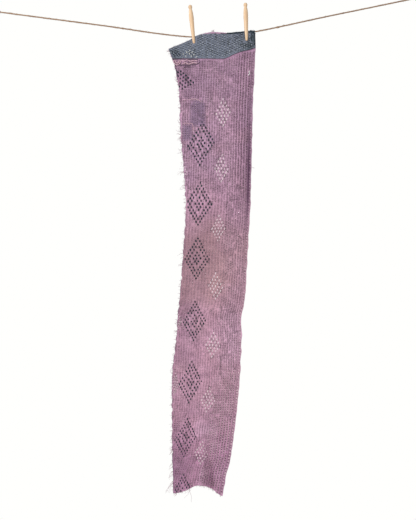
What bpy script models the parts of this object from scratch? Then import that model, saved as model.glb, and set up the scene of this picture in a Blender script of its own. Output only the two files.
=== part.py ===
"""A strip of quilted kantha cloth hung from a twine line by two wooden dolly pegs.

Units are metres and +Z is up. The cloth's front faces -Y and its left and right are those of someone who
looks at that front. The origin is the middle of the loop at the line's left end.
"""

import math
import random
from collections import namedtuple

import bmesh
import bpy
from mathutils import Matrix, Vector

CLEARANCE = 0.0003

# The line: twine with a knotted loop at each end.
LINE_RADIUS = 0.00175
LINE_POINTS = 80
KNOT_RADIUS = 0.0038
KNOT_LENGTH = 0.0080
LOOP_RADIUS = 0.0080
LOOP_STRETCH = 1.25

RoutePoint = namedtuple("RoutePoint", "x z")
LINE_ROUTE = [
    RoutePoint(0.0162, -0.0021),
    RoutePoint(0.0600, -0.0078),
    RoutePoint(0.1200, -0.0157),
    RoutePoint(0.2200, -0.0287),
    RoutePoint(0.3210, -0.0419),
    RoutePoint(0.3850, -0.0513),
    RoutePoint(0.4430, -0.0600),
    RoutePoint(0.5000, -0.0674),
    RoutePoint(0.5400, -0.0714),
    RoutePoint(0.5680, -0.0733),
    RoutePoint(0.5960, -0.0723),
    RoutePoint(0.6400, -0.0688),
    RoutePoint(0.6900, -0.0647),
    RoutePoint(0.7230, -0.0618),
    RoutePoint(0.7480, -0.0585),
    RoutePoint(0.7800, -0.0524),
    RoutePoint(0.8136, -0.0455),
    RoutePoint(0.8800, -0.0311),
    RoutePoint(0.9528, -0.0152),
    RoutePoint(1.0400, 0.0027),
    RoutePoint(1.1200, 0.0192),
    RoutePoint(1.1850, 0.0326),
    RoutePoint(1.2117, 0.0381),
]

# The cloth: its thickness, its grid and the hem along its right edge.
CLOTH_THICKNESS = 0.0018
CLOTH_ROWS = 86
CLOTH_COLUMNS = 18
HEM_THICKNESS = 0.0026
HEM_TOP_DROP = 0.118
HEM_FADE = 0.010

HemLine = namedtuple("HemLine", "inset thickness")
HEM_PROFILE = [
    HemLine(0.0100, CLOTH_THICKNESS),
    HemLine(0.0085, 0.0013),
    HemLine(0.0070, HEM_THICKNESS),
    HemLine(0.0030, HEM_THICKNESS),
    HemLine(0.0, CLOTH_THICKNESS),
]

# One row for each level down the cloth: its drop below the origin, where its left and right edges stand,
# and how far it lies from the line's middle at five stations from the left edge to the right one.
Section = namedtuple("Section", "drop left right y_left y_quarter y_middle y_three_quarter y_right")
SECTIONS = [
    Section(0.0565, 0.5000, 0.7495, -0.0030, -0.0030, -0.0030, -0.0030, -0.0030),
    Section(0.1100, 0.5010, 0.7505, -0.0100, -0.0030, -0.0042, -0.0034, -0.0031),
    Section(0.1350, 0.5105, 0.7490, -0.0096, -0.0038, -0.0055, -0.0042, -0.0032),
    Section(0.1600, 0.5185, 0.7480, -0.0084, -0.0050, -0.0064, -0.0048, -0.0034),
    Section(0.2000, 0.5265, 0.7465, -0.0060, -0.0062, -0.0078, -0.0056, -0.0036),
    Section(0.2400, 0.5320, 0.7440, -0.0044, -0.0072, -0.0086, -0.0062, -0.0040),
    Section(0.3400, 0.5350, 0.7410, -0.0030, -0.0082, -0.0092, -0.0074, -0.0048),
    Section(0.4600, 0.5450, 0.7380, -0.0048, -0.0090, -0.0080, -0.0096, -0.0064),
    Section(0.5600, 0.5500, 0.7350, -0.0080, -0.0096, -0.0058, -0.0064, -0.0092),
    Section(0.6600, 0.5455, 0.7290, -0.0104, -0.0076, -0.0036, -0.0052, -0.0110),
    Section(0.7800, 0.5370, 0.7230, -0.0098, -0.0050, -0.0026, -0.0076, -0.0094),
    Section(0.8300, 0.5320, 0.7185, -0.0090, -0.0044, -0.0030, -0.0088, -0.0056),
    Section(0.8850, 0.5260, 0.7090, -0.0080, -0.0040, -0.0042, -0.0080, -0.0010),
    Section(0.9250, 0.5240, 0.7110, -0.0068, -0.0044, -0.0056, -0.0066, -0.0026),
    Section(1.0400, 0.5120, 0.7060, -0.0040, -0.0070, -0.0096, -0.0054, -0.0048),
    Section(1.1600, 0.5110, 0.6950, -0.0034, -0.0104, -0.0124, -0.0030, -0.0020),
    Section(1.2800, 0.5120, 0.6790, -0.0062, -0.0140, -0.0150, -0.0004, -0.0010),
    Section(1.3300, 0.5140, 0.6660, -0.0086, -0.0160, -0.0156, 0.0010, -0.0040),
    Section(1.3890, 0.5145, 0.6555, -0.0130, -0.0184, -0.0150, 0.0012, -0.0090),
]

# The cut ends: the drop below the origin at each part of the way from the left edge to the right one.
EndPoint = namedtuple("EndPoint", "across drop")
TOP_EDGE = [
    EndPoint(0.00, 0.1100),
    EndPoint(0.13, 0.0960),
    EndPoint(0.25, 0.0822),
    EndPoint(0.31, 0.0722),
    EndPoint(0.42, 0.0637),
    EndPoint(0.50, 0.0600),
    EndPoint(0.61, 0.0614),
    EndPoint(0.70, 0.0626),
    EndPoint(0.80, 0.0600),
    EndPoint(0.90, 0.0570),
    EndPoint(0.98, 0.0565),
    EndPoint(1.00, 0.0650),
]
BOTTOM_EDGE = [
    EndPoint(0.00, 1.3803),
    EndPoint(0.16, 1.3753),
    EndPoint(0.31, 1.3660),
    EndPoint(0.42, 1.3578),
    EndPoint(0.50, 1.3561),
    EndPoint(0.61, 1.3590),
    EndPoint(0.74, 1.3700),
    EndPoint(0.88, 1.3822),
    EndPoint(1.00, 1.3889),
]
PANEL_LOWER_EDGE = [
    EndPoint(0.00, 0.1380),
    EndPoint(0.30, 0.1366),
    EndPoint(0.61, 0.1373),
    EndPoint(0.67, 0.1337),
    EndPoint(0.75, 0.1243),
    EndPoint(0.85, 0.1159),
    EndPoint(0.93, 0.1114),
    EndPoint(1.00, 0.1053),
]

# The blue panel on the front of the top end.
PANEL_THICKNESS = 0.0010
PANEL_INSET = 0.0005
PANEL_ROWS = 8

# Soft creases. Each is a straight trough, or a ridge where its depth is below zero, between two points.
Crease = namedtuple("Crease", "top_x top_drop foot_x foot_drop half_width depth")
CREASES = [
    Crease(0.566, 0.095, 0.520, 0.200, 0.020, -0.0022),
    Crease(0.683, 0.520, 0.694, 0.900, 0.015, 0.0034),
    Crease(0.652, 0.815, 0.706, 0.884, 0.011, 0.0042),
    Crease(0.636, 1.010, 0.646, 1.110, 0.009, 0.0036),
    Crease(0.606, 1.190, 0.632, 1.390, 0.012, 0.0100),
    Crease(0.592, 1.250, 0.602, 1.390, 0.010, -0.0056),
    Crease(0.662, 1.235, 0.640, 1.320, 0.009, -0.0040),
]

# Frayed edges: the loosened strip, and the strands on it.
STRIP_GAP = 0.0005
STRIP_WIDTH = 0.0011
STRIP_DEPTH = 0.0014
STRIP_END_GAP = 0.004
LEFT_STRIP_STEP = 0.022
BOTTOM_STRIP_STEP = 0.006
STRAND_WIDTH = 0.0008
STRAND_STEPS = 2
STRAND_TIP_SCALE = 0.55
STRAND_BEND = 1.6
STRAND_SPACING = 0.0022
HAIR_SPACING = 0.0190

# Tufts of loose threads along an edge: where the first one starts, how far the longest reaches out of the
# edge, how far its end drifts along it, and how many threads it has. The position is a drop below the
# origin on the left edge and a part of the way across on the lower one.
Tuft = namedtuple("Tuft", "position reach drift threads")
LEFT_TUFTS = [
    Tuft(0.1160, 0.006, -0.003, 3),
    Tuft(0.2020, 0.010, -0.006, 3),
    Tuft(0.3180, 0.009, -0.010, 2),
    Tuft(0.3520, 0.015, -0.004, 3),
    Tuft(0.3630, 0.013, 0.004, 3),
    Tuft(0.3770, 0.012, -0.006, 2),
    Tuft(0.4010, 0.019, 0.003, 3),
    Tuft(0.4350, 0.009, 0.005, 2),
    Tuft(0.4590, 0.022, 0.006, 4),
    Tuft(0.5060, 0.020, 0.004, 2),
    Tuft(0.5680, 0.007, -0.003, 2),
    Tuft(0.7000, 0.019, 0.000, 1),
    Tuft(0.7260, 0.014, 0.002, 3),
    Tuft(0.7840, 0.009, 0.004, 2),
    Tuft(0.9200, 0.010, 0.000, 3),
    Tuft(1.2220, 0.008, 0.008, 2),
    Tuft(1.2590, 0.010, 0.006, 3),
    Tuft(1.2980, 0.013, 0.010, 3),
    Tuft(1.3230, 0.016, 0.012, 3),
    Tuft(1.3500, 0.022, 0.030, 3),
]
BOTTOM_TUFTS = [
    Tuft(0.060, 0.010, -0.004, 3),
    Tuft(0.310, 0.060, 0.006, 1),
    Tuft(0.345, 0.030, -0.012, 2),
    Tuft(0.520, 0.006, 0.002, 2),
    Tuft(0.720, 0.012, 0.003, 2),
    Tuft(0.780, 0.009, 0.004, 2),
    Tuft(0.960, 0.007, 0.002, 2),
]

# The pegs: the height above the tips, the half width seen from the front and the half depth.
PEG_LENGTH = 0.110
PEG_SIDES = 24
PegRing = namedtuple("PegRing", "height half_width half_depth")
PEG_RINGS = [
    PegRing(PEG_LENGTH, 0.0, 0.0),
    PegRing(0.1092, 0.0028, 0.0028),
    PegRing(0.1068, 0.0050, 0.0050),
    PegRing(0.1036, 0.00575, 0.00575),
    PegRing(0.1004, 0.0051, 0.0051),
    PegRing(0.0982, 0.0041, 0.0041),
    PegRing(0.0965, 0.0040, 0.0040),
    PegRing(0.0925, 0.0052, 0.0052),
    PegRing(0.0840, 0.0063, 0.0063),
    PegRing(0.0720, 0.0067, 0.0067),
    PegRing(0.0600, 0.0066, 0.0068),
    PegRing(0.0420, 0.0062, 0.0070),
    PegRing(0.0240, 0.0056, 0.0073),
    PegRing(0.0100, 0.0049, 0.0075),
    PegRing(0.0035, 0.0044, 0.0074),
    PegRing(0.0009, 0.0038, 0.0070),
    PegRing(0.0, 0.0030, 0.0064),
    PegRing(0.0, 0.0, 0.0),
]
SLOT_MOUTH = 0.0094
SLOT_ROOT = 0.0046
SLOT_HEIGHT = 0.0660
SLOT_ROOT_STEPS = 6

PegPlace = namedtuple("PegPlace", "name x y tip_drop tilt_deg lean_deg")
PEGS = [
    PegPlace("peg_left", 0.5740, -0.0005, 0.0927, -6.0, 4.3),
    PegPlace("peg_right", 0.7247, -0.0017, 0.0855, -1.8, 0.0),
]

PLUM = (0.371, 0.216, 0.314)
SLATE = (0.115, 0.140, 0.190)
PALE_PLUM = (0.420, 0.250, 0.350)
BEECH = (0.760, 0.560, 0.370)
JUTE = (0.420, 0.300, 0.185)


def clear_scene():
    """Remove every object that the start-up file holds."""
    for obj in list(bpy.data.objects):
        bpy.data.objects.remove(obj, do_unlink=True)


def make_collection(name):
    collection = bpy.data.collections.new(name)
    bpy.context.scene.collection.children.link(collection)
    return collection


def make_material(name, colour, roughness):
    """A Principled material of one colour."""
    material = bpy.data.materials.new(name)
    material.use_nodes = True
    shader = material.node_tree.nodes["Principled BSDF"]
    shader.inputs["Base Color"].default_value = (*colour, 1.0)
    shader.inputs["Roughness"].default_value = roughness
    shader.inputs["Metallic"].default_value = 0.0
    return material


def add_object(name, data, collection, material=None):
    """Link a mesh or curve as an object; what takes no material is a cutter or a guide."""
    obj = bpy.data.objects.new(name, data)
    collection.objects.link(obj)
    if material:
        data.materials.append(material)
    else:
        obj.hide_render = True
        obj.display_type = "WIRE"
    return obj


def evaluated_mesh(obj):
    """A welded mesh copy of an object with its modifiers or its curve's bevel applied; the object goes."""
    graph = bpy.context.evaluated_depsgraph_get()
    mesh = bpy.data.meshes.new_from_object(obj.evaluated_get(graph))
    bpy.data.objects.remove(obj, do_unlink=True)
    welded = bmesh.new()
    welded.from_mesh(mesh)
    bmesh.ops.remove_doubles(welded, verts=welded.verts, dist=1e-6)
    bmesh.ops.recalc_face_normals(welded, faces=welded.faces)
    welded.to_mesh(mesh)
    welded.free()
    return mesh


def smooth_between(at, places, values):
    """The value at a place on the smooth curve through a table's rows, held level past its ends."""
    if at <= places[0]:
        return values[0]
    if at >= places[-1]:
        return values[-1]
    row = max(i for i in range(len(places) - 1) if places[i] <= at)

    def slope(i):
        low = max(i - 1, 0)
        high = min(i + 1, len(places) - 1)
        return (values[high] - values[low]) / (places[high] - places[low])

    span = places[row + 1] - places[row]
    t = (at - places[row]) / span
    start = values[row] * (2 * t**3 - 3 * t**2 + 1) + values[row + 1] * (3 * t**2 - 2 * t**3)
    return start + span * (slope(row) * (t**3 - 2 * t**2 + t) + slope(row + 1) * (t**3 - t**2))


def column(table, name):
    return [getattr(row, name) for row in table]


SECTION_DROPS = column(SECTIONS, "drop")
STATIONS = ["y_left", "y_quarter", "y_middle", "y_three_quarter", "y_right"]


def section_value(name, drop):
    return smooth_between(drop, SECTION_DROPS, column(SECTIONS, name))


def edge_drop(edge, across):
    return smooth_between(across, column(edge, "across"), column(edge, "drop"))


def crease_fade(crease, along):
    """A crease sinks and rises again along its run, and one that runs off the lower edge is deepest there."""
    half_waves = 0.5 if crease.foot_drop > BOTTOM_EDGE[-1].drop else 1.0
    return math.sin(math.pi * half_waves * along)


def crease_depth(x, drop):
    """How far the creases push the cloth back at one place."""
    depth = 0.0
    for crease in CREASES:
        run = Vector((crease.foot_x - crease.top_x, crease.foot_drop - crease.top_drop))
        offset = Vector((x - crease.top_x, drop - crease.top_drop))
        along = offset.dot(run) / run.length_squared
        if 0.0 < along < 1.0:
            away = abs(offset.x * run.y - offset.y * run.x) / run.length
            depth += crease.depth * crease_fade(crease, along) * math.exp(-((away / crease.half_width) ** 2))
    return depth


def cloth_point(across, drop):
    """A point in the middle of the cloth's thickness."""
    left = section_value("left", drop)
    right = section_value("right", drop)
    x = left + across * (right - left)
    stations = [index / (len(STATIONS) - 1) for index in range(len(STATIONS))]
    y = smooth_between(across, stations, [section_value(name, drop) for name in STATIONS])
    return Vector((x, y + crease_depth(x, drop), -drop))


def grid_mesh(name, points, columns, rows):
    """An open sheet of quads through points that are listed row by row from the top left."""
    mesh = bpy.data.meshes.new(name)
    faces = []
    for j in range(rows):
        for i in range(columns):
            corner = j * (columns + 1) + i
            faces.append((corner, corner + columns + 1, corner + columns + 2, corner + 1))
    mesh.from_pydata(points, [], faces)
    mesh.shade_smooth()
    return mesh


def add_thickness(obj, thickness, shares=None):
    """Thicken a sheet evenly about its middle, or by a share of the full thickness at each vertex."""
    solid = obj.modifiers.new("thickness", "SOLIDIFY")
    solid.thickness = thickness
    solid.offset = 0.0
    if shares:
        group = obj.vertex_groups.new(name="thickness_share")
        for index, share in enumerate(shares):
            group.add([index], share, "REPLACE")
        solid.vertex_group = group.name


def column_places(width):
    """How far across each of the cloth's grid columns lies, with the last few on the hem's own lines."""
    main_share = 1 - HEM_PROFILE[0].inset / width
    places = [main_share * i / CLOTH_COLUMNS for i in range(CLOTH_COLUMNS)]
    return places + [1 - line.inset / width for line in HEM_PROFILE]


def width_at(drop):
    return section_value("right", drop) - section_value("left", drop)


def cloth_row(j):
    """The places across and the drops of one row of the cloth's grid."""
    top_middle = edge_drop(TOP_EDGE, 0.5)
    down = j / CLOTH_ROWS
    row = []
    for across in column_places(width_at(top_middle + down * (edge_drop(BOTTOM_EDGE, 0.5) - top_middle))):
        top = edge_drop(TOP_EDGE, across)
        row.append((across, top + down * (edge_drop(BOTTOM_EDGE, across) - top)))
    return row


def build_cloth(collection, material):
    """The kantha strip: an open sheet with a thin groove and a thicker band along its right edge."""
    points = []
    shares = []
    for j in range(CLOTH_ROWS + 1):
        for i, (across, drop) in enumerate(cloth_row(j)):
            points.append(cloth_point(across, drop))
            hem_line = HEM_PROFILE[max(0, i - CLOTH_COLUMNS)]
            fade = min(1.0, max(0.0, (drop - HEM_TOP_DROP) / HEM_FADE))
            shares.append((CLOTH_THICKNESS + fade * (hem_line.thickness - CLOTH_THICKNESS)) / HEM_THICKNESS)
    columns = CLOTH_COLUMNS + len(HEM_PROFILE) - 1
    cloth = add_object("cloth", grid_mesh("cloth", points, columns, CLOTH_ROWS), collection, material)
    add_thickness(cloth, HEM_THICKNESS, shares)


def build_panel(collection, material):
    """The blue piece that lies on the front of the cloth's top end."""
    forward = Vector((0.0, -(CLOTH_THICKNESS / 2 + CLEARANCE + PANEL_THICKNESS / 2), 0.0))
    places = column_places(width_at(TOP_EDGE[0].drop))
    places[0] += PANEL_INSET / width_at(TOP_EDGE[0].drop)
    places[-1] -= PANEL_INSET / width_at(TOP_EDGE[0].drop)
    points = []
    for j in range(PANEL_ROWS + 1):
        for across in places:
            top = edge_drop(TOP_EDGE, across) + PANEL_INSET
            drop = top + j / PANEL_ROWS * (edge_drop(PANEL_LOWER_EDGE, across) - top)
            points.append(cloth_point(across, drop) + forward)
    sheet = grid_mesh("blue_end_panel", points, len(places) - 1, PANEL_ROWS)
    panel = add_object("blue_end_panel", sheet, collection, material)
    add_thickness(panel, PANEL_THICKNESS)


def strand_roots(tufts, start, stop, along_scale, seed):
    """Every strand of an edge as its position, reach and drift: the tufts' own and single hairs between.

    along_scale is how many metres one unit of position is.
    """
    chance = random.Random(seed)
    spacing = STRAND_SPACING / along_scale
    roots = []
    for tuft in tufts:
        for thread in range(tuft.threads):
            share = 1.0 - 0.45 * thread / max(1, tuft.threads - 1)
            drift = tuft.drift + 0.003 * (thread - (tuft.threads - 1) / 2)
            roots.append((tuft.position + thread * spacing, tuft.reach * share, drift))
    position = start + 2 * spacing
    while position < stop - 2 * spacing:
        if all(abs(position - root[0]) > spacing for root in roots):
            roots.append((position, chance.uniform(0.0025, 0.0055), chance.uniform(-0.002, 0.002)))
        position += HAIR_SPACING / along_scale * chance.uniform(0.7, 1.3)
    return sorted(root for root in roots if start < root[0] < stop)


def build_fray(name, edge_at, outward, along, tufts, start, stop, along_scale, step, seed, collection,
               material):
    """A narrow strip beside an edge, with strands that grow out of its outer faces.

    edge_at gives the edge's point at a position, outward the way out of the cloth and along the way on.
    """
    roots = strand_roots(tufts, start, stop, along_scale, seed)
    half_root = STRAND_WIDTH / 2 / along_scale
    positions = {start: None, stop: None}
    for root in roots:
        positions[root[0] - half_root] = root
        positions[root[0] + half_root] = None
    count = math.ceil((stop - start) * along_scale / step)
    for index in range(1, count):
        position = start + (stop - start) * index / count
        if all(abs(position - root[0]) > 4 * half_root for root in roots):
            positions[position] = None

    depth = Vector((0.0, STRIP_DEPTH / 2, 0.0))
    mesh = bmesh.new()
    rings = []
    order = sorted(positions)
    for position in order:
        inner = edge_at(position) + outward * STRIP_GAP
        outer = inner + outward * STRIP_WIDTH
        rings.append([mesh.verts.new(point) for point in (inner - depth, outer - depth, outer + depth,
                                                           inner + depth)])
    for ring, following, position in zip(rings, rings[1:], order):
        for side in range(4):
            if side == 1 and positions[position]:
                _, reach, drift = positions[position]
                root_face = [ring[1], ring[2], following[2], following[1]]
                grow_strand(mesh, root_face, outward * reach, along * drift)
                continue
            mesh.faces.new((ring[side], ring[(side + 1) % 4], following[(side + 1) % 4], following[side]))
    mesh.faces.new(rings[0])
    mesh.faces.new(list(reversed(rings[-1])))
    bmesh.ops.recalc_face_normals(mesh, faces=mesh.faces)
    data = bpy.data.meshes.new(name)
    mesh.to_mesh(data)
    mesh.free()
    return add_object(name, data, collection, material)


def grow_strand(mesh, root_face, outward, along):
    """Carry a four-sided ring out along a bent path, thinner towards its tip, and close it."""
    centre = sum((vert.co for vert in root_face), Vector()) / 4
    spread = [vert.co - centre for vert in root_face]
    ring = root_face
    for step in range(1, STRAND_STEPS + 1):
        part = step / STRAND_STEPS
        scale = 1.0 - (1.0 - STRAND_TIP_SCALE) * part
        middle = centre + outward * part + along * part**STRAND_BEND
        following = [mesh.verts.new(middle + offset * scale) for offset in spread]
        for side in range(4):
            mesh.faces.new((ring[side], ring[(side + 1) % 4], following[(side + 1) % 4], following[side]))
        ring = following
    mesh.faces.new(ring)


def along_grid(points, positions):
    """A function that gives the point at a position on the straight runs between an edge's grid points."""

    def edge_at(position):
        run = max(i for i in range(len(positions) - 1) if i == 0 or positions[i] <= position)
        share = (position - positions[run]) / (positions[run + 1] - positions[run])
        return points[run].lerp(points[run + 1], share)

    return edge_at


def build_frays(collection, material):
    """The frayed left and lower edges."""
    left = [cloth_row(j)[0] for j in range(CLOTH_ROWS + 1)]
    left_edge = along_grid([cloth_point(*place) for place in left], [drop for _, drop in left])
    bottom = cloth_row(CLOTH_ROWS)
    bottom_edge = along_grid([cloth_point(*place) for place in bottom], [across for across, _ in bottom])
    build_fray("fray_left", left_edge, Vector((-1, 0, 0)), Vector((0, 0, -1)), LEFT_TUFTS,
               TOP_EDGE[0].drop + STRIP_END_GAP, BOTTOM_EDGE[0].drop - STRIP_END_GAP, 1.0,
               LEFT_STRIP_STEP, 3, collection, material)
    build_fray("fray_bottom", bottom_edge, Vector((0, 0, -1)), Vector((1, 0, 0)), BOTTOM_TUFTS,
               0.02, 0.98, width_at(BOTTOM_EDGE[0].drop), BOTTOM_STRIP_STEP, 5, collection, material)


def prism(name, outline, half_length, collection):
    """A closed mesh of an outline of (y, z) points, carried half_length each way along X."""
    curve = bpy.data.curves.new(name, "CURVE")
    curve.dimensions = "2D"
    curve.fill_mode = "BOTH"
    curve.extrude = half_length
    spline = curve.splines.new("POLY")
    spline.points.add(len(outline) - 1)
    for point, (y, z) in zip(spline.points, outline):
        point.co = (y, z, 0.0, 1.0)
    spline.use_cyclic_u = True
    mesh = evaluated_mesh(add_object(name, curve, collection))
    mesh.transform(Matrix(((0, 0, 1, 0), (1, 0, 0, 0), (0, 1, 0, 0), (0, 0, 0, 1))))
    return add_object(name, mesh, collection)


def slot_outline():
    """The peg's slot: a wedge that widens to its mouth, with a round root."""
    overshoot = 0.002
    slope = (SLOT_MOUTH - SLOT_ROOT) / 2 / SLOT_HEIGHT
    mouth = SLOT_MOUTH / 2 + overshoot * slope
    root_radius = SLOT_ROOT / 2
    arc_height = SLOT_HEIGHT - root_radius
    points = [(-mouth, -overshoot), (mouth, -overshoot)]
    for step in range(SLOT_ROOT_STEPS + 1):
        angle = math.pi * step / SLOT_ROOT_STEPS
        points.append((root_radius * math.cos(angle), arc_height + root_radius * math.sin(angle)))
    return points


def turned_peg_mesh(collection):
    """The peg before its slot is cut: a turned profile, sprung wider in depth towards its tips."""
    profile = bpy.data.meshes.new("peg_profile")
    points = [(ring.half_width, 0.0, ring.height) for ring in PEG_RINGS]
    profile.from_pydata(points, [(i, i + 1) for i in range(len(points) - 1)], [])
    turned = add_object("peg_profile", profile, collection)
    screw = turned.modifiers.new("turn", "SCREW")
    screw.steps = PEG_SIDES
    screw.render_steps = PEG_SIDES
    screw.use_merge_vertices = True
    screw.merge_threshold = 0.00001
    mesh = evaluated_mesh(turned)
    rings = [ring for ring in PEG_RINGS if ring.half_width > 0]
    for vertex in mesh.vertices:
        ring = min(rings, key=lambda row: abs(row.height - vertex.co.z)
                   + abs(row.half_width - math.hypot(vertex.co.x, vertex.co.y)))
        vertex.co.y *= ring.half_depth / ring.half_width
    return mesh


def build_pegs(collection, cutters, material):
    """The two pegs, cut from the same turned shape and set astride the line and the cloth."""
    turned = turned_peg_mesh(cutters)
    slot = prism("peg_slot", slot_outline(), 0.012, cutters)
    for place in PEGS:
        peg = add_object(place.name, turned.copy(), collection, material)
        cut = peg.modifiers.new("slot", "BOOLEAN")
        cut.operation = "DIFFERENCE"
        cut.object = slot_at(slot, place, cutters)
        peg.matrix_world = peg_matrix(place)
        peg.data.shade_smooth()
        peg.data.set_sharp_from_angle(angle=math.radians(40))
    bpy.data.objects.remove(slot, do_unlink=True)


def peg_matrix(place):
    turn = Matrix.Rotation(math.radians(place.tilt_deg), 4, "Y") @ Matrix.Rotation(
        math.radians(place.lean_deg), 4, "X")
    return Matrix.Translation((place.x, place.y, -place.tip_drop)) @ turn


def slot_at(slot, place, cutters):
    """A copy of the slot's cutter at one peg."""
    copy = add_object(place.name + "_slot", slot.data.copy(), cutters)
    copy.matrix_world = peg_matrix(place)
    return copy


def line_centre(x):
    return Vector((x, 0.0, smooth_between(x, column(LINE_ROUTE, "x"), column(LINE_ROUTE, "z"))))


def build_line(collection, material):
    """The twine's tube between the two knots, its points read from the smooth curve of its route."""
    curve = bpy.data.curves.new("line", "CURVE")
    curve.dimensions = "3D"
    curve.bevel_depth = LINE_RADIUS
    curve.bevel_resolution = 2
    curve.use_fill_caps = True
    spline = curve.splines.new("POLY")
    spline.points.add(LINE_POINTS - 1)
    start, end = LINE_ROUTE[0].x, LINE_ROUTE[-1].x
    for index, point in enumerate(spline.points):
        point.co = (*line_centre(start + (end - start) * index / (LINE_POINTS - 1)), 1.0)
    return add_object("line", curve, collection, material)


def build_line_end(name, end, before, collection, cutters, material):
    """A knot at the end of the line and the loop past it, joined as one piece."""
    direction = (end - before).normalized()
    knot_middle = end + direction * (CLEARANCE + KNOT_LENGTH / 2)
    loop_middle = knot_middle + direction * (LOOP_RADIUS * LOOP_STRETCH + KNOT_LENGTH / 4)
    turn = direction.to_track_quat("X", "Z").to_matrix().to_4x4()

    bpy.ops.mesh.primitive_cylinder_add(vertices=14, radius=KNOT_RADIUS, depth=KNOT_LENGTH)
    knot = bpy.context.object
    knot.name = name
    knot.data.transform(turn @ Matrix.Rotation(math.radians(90), 4, "Y"))
    knot.location = knot_middle
    move_to(knot, collection)
    knot.data.materials.append(material)
    round_edges = knot.modifiers.new("round_edges", "BEVEL")
    round_edges.width = KNOT_RADIUS * 0.35
    round_edges.segments = 2

    bpy.ops.mesh.primitive_torus_add(major_segments=22, minor_segments=7, major_radius=LOOP_RADIUS,
                                     minor_radius=LINE_RADIUS)
    loop = bpy.context.object
    loop.name = name + "_ring"
    loop.data.transform(turn @ Matrix.Diagonal((LOOP_STRETCH, 1, 1, 1)) @ Matrix.Rotation(
        math.radians(90), 4, "X"))
    loop.location = loop_middle
    move_to(loop, cutters)
    loop.hide_render = True
    loop.display_type = "WIRE"

    join = knot.modifiers.new("loop", "BOOLEAN")
    join.operation = "UNION"
    join.object = loop
    return knot


def move_to(obj, collection):
    """Take an object that an operator added into one of the part's collections."""
    for holder in list(obj.users_collection):
        holder.objects.unlink(obj)
    collection.objects.link(obj)


def build():
    clear_scene()
    parts = make_collection("kantha_cloth_on_line")
    cutters = make_collection("cutters")
    beech = make_material("beech", BEECH, 0.55)
    jute = make_material("jute", JUTE, 0.9)
    build_cloth(parts, make_material("plum_kantha", PLUM, 0.9))
    build_panel(parts, make_material("slate_cotton", SLATE, 0.9))
    build_frays(parts, make_material("plum_threads", PALE_PLUM, 0.9))
    build_pegs(parts, cutters, beech)
    build_line(parts, jute)
    first, last = LINE_ROUTE[0], LINE_ROUTE[-1]
    build_line_end("line_loop_left", line_centre(first.x), line_centre(LINE_ROUTE[1].x), parts, cutters, jute)
    build_line_end("line_loop_right", line_centre(last.x), line_centre(LINE_ROUTE[-2].x), parts, cutters,
                   jute)


build()
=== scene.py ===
"""The looks of a strip of quilted kantha cloth that two wooden dolly pegs hold on a twine line.

Units are metres, in the CAD model's own frame: +Z is up and the cloth's front faces -Y. A place on the cloth
is given by s, the distance in from its hemmed right edge, and t, the drop below the origin. Every new piece is
worked out with numpy as whole arrays: a surface over s and t, or a ring of points carried along paths.
"""

import math
from collections import namedtuple

import bpy
import numpy as np
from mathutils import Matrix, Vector


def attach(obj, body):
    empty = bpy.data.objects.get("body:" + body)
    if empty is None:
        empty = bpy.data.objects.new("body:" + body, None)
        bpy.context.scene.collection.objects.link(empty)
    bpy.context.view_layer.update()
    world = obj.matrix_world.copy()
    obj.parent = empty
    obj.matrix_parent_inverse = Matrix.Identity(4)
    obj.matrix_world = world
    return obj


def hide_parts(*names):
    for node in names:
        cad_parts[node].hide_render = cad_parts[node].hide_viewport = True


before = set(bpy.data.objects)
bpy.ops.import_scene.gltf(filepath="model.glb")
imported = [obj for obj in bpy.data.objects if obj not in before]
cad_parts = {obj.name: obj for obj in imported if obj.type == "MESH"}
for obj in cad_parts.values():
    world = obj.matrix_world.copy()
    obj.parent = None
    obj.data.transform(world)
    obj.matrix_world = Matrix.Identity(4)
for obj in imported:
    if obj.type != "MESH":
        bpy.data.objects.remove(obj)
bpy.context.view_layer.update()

CLOTH_FACE = 0.0018 / 2
PANEL_THICKNESS = 0.0010
CLEARANCE = 0.0003
LINE_RADIUS = 0.00175
LAY = 0.0095
HEM_LINE = 0.0047
HEM_GROOVE = 0.0088
PANEL_FOOT = 0.118
FORWARD = np.array([0.0, 1.0, 0.0])
RIGHTWARD = np.array([1.0, 0.0, 0.0])
UPWARD = np.array([0.0, 0.0, 1.0])

# The line's route between its knots, as in the CAD model.
LINE_X = [0.0162, 0.0600, 0.1200, 0.2200, 0.3210, 0.3850, 0.4430, 0.5000, 0.5400, 0.5680, 0.5960, 0.6400,
          0.6900, 0.7230, 0.7480, 0.7800, 0.8136, 0.8800, 0.9528, 1.0400, 1.1200, 1.1850, 1.2117]
LINE_Z = [-0.0021, -0.0078, -0.0157, -0.0287, -0.0419, -0.0513, -0.0600, -0.0674, -0.0714, -0.0733, -0.0723,
          -0.0688, -0.0647, -0.0618, -0.0585, -0.0524, -0.0455, -0.0311, -0.0152, 0.0027, 0.0192, 0.0326,
          0.0381]

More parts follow.
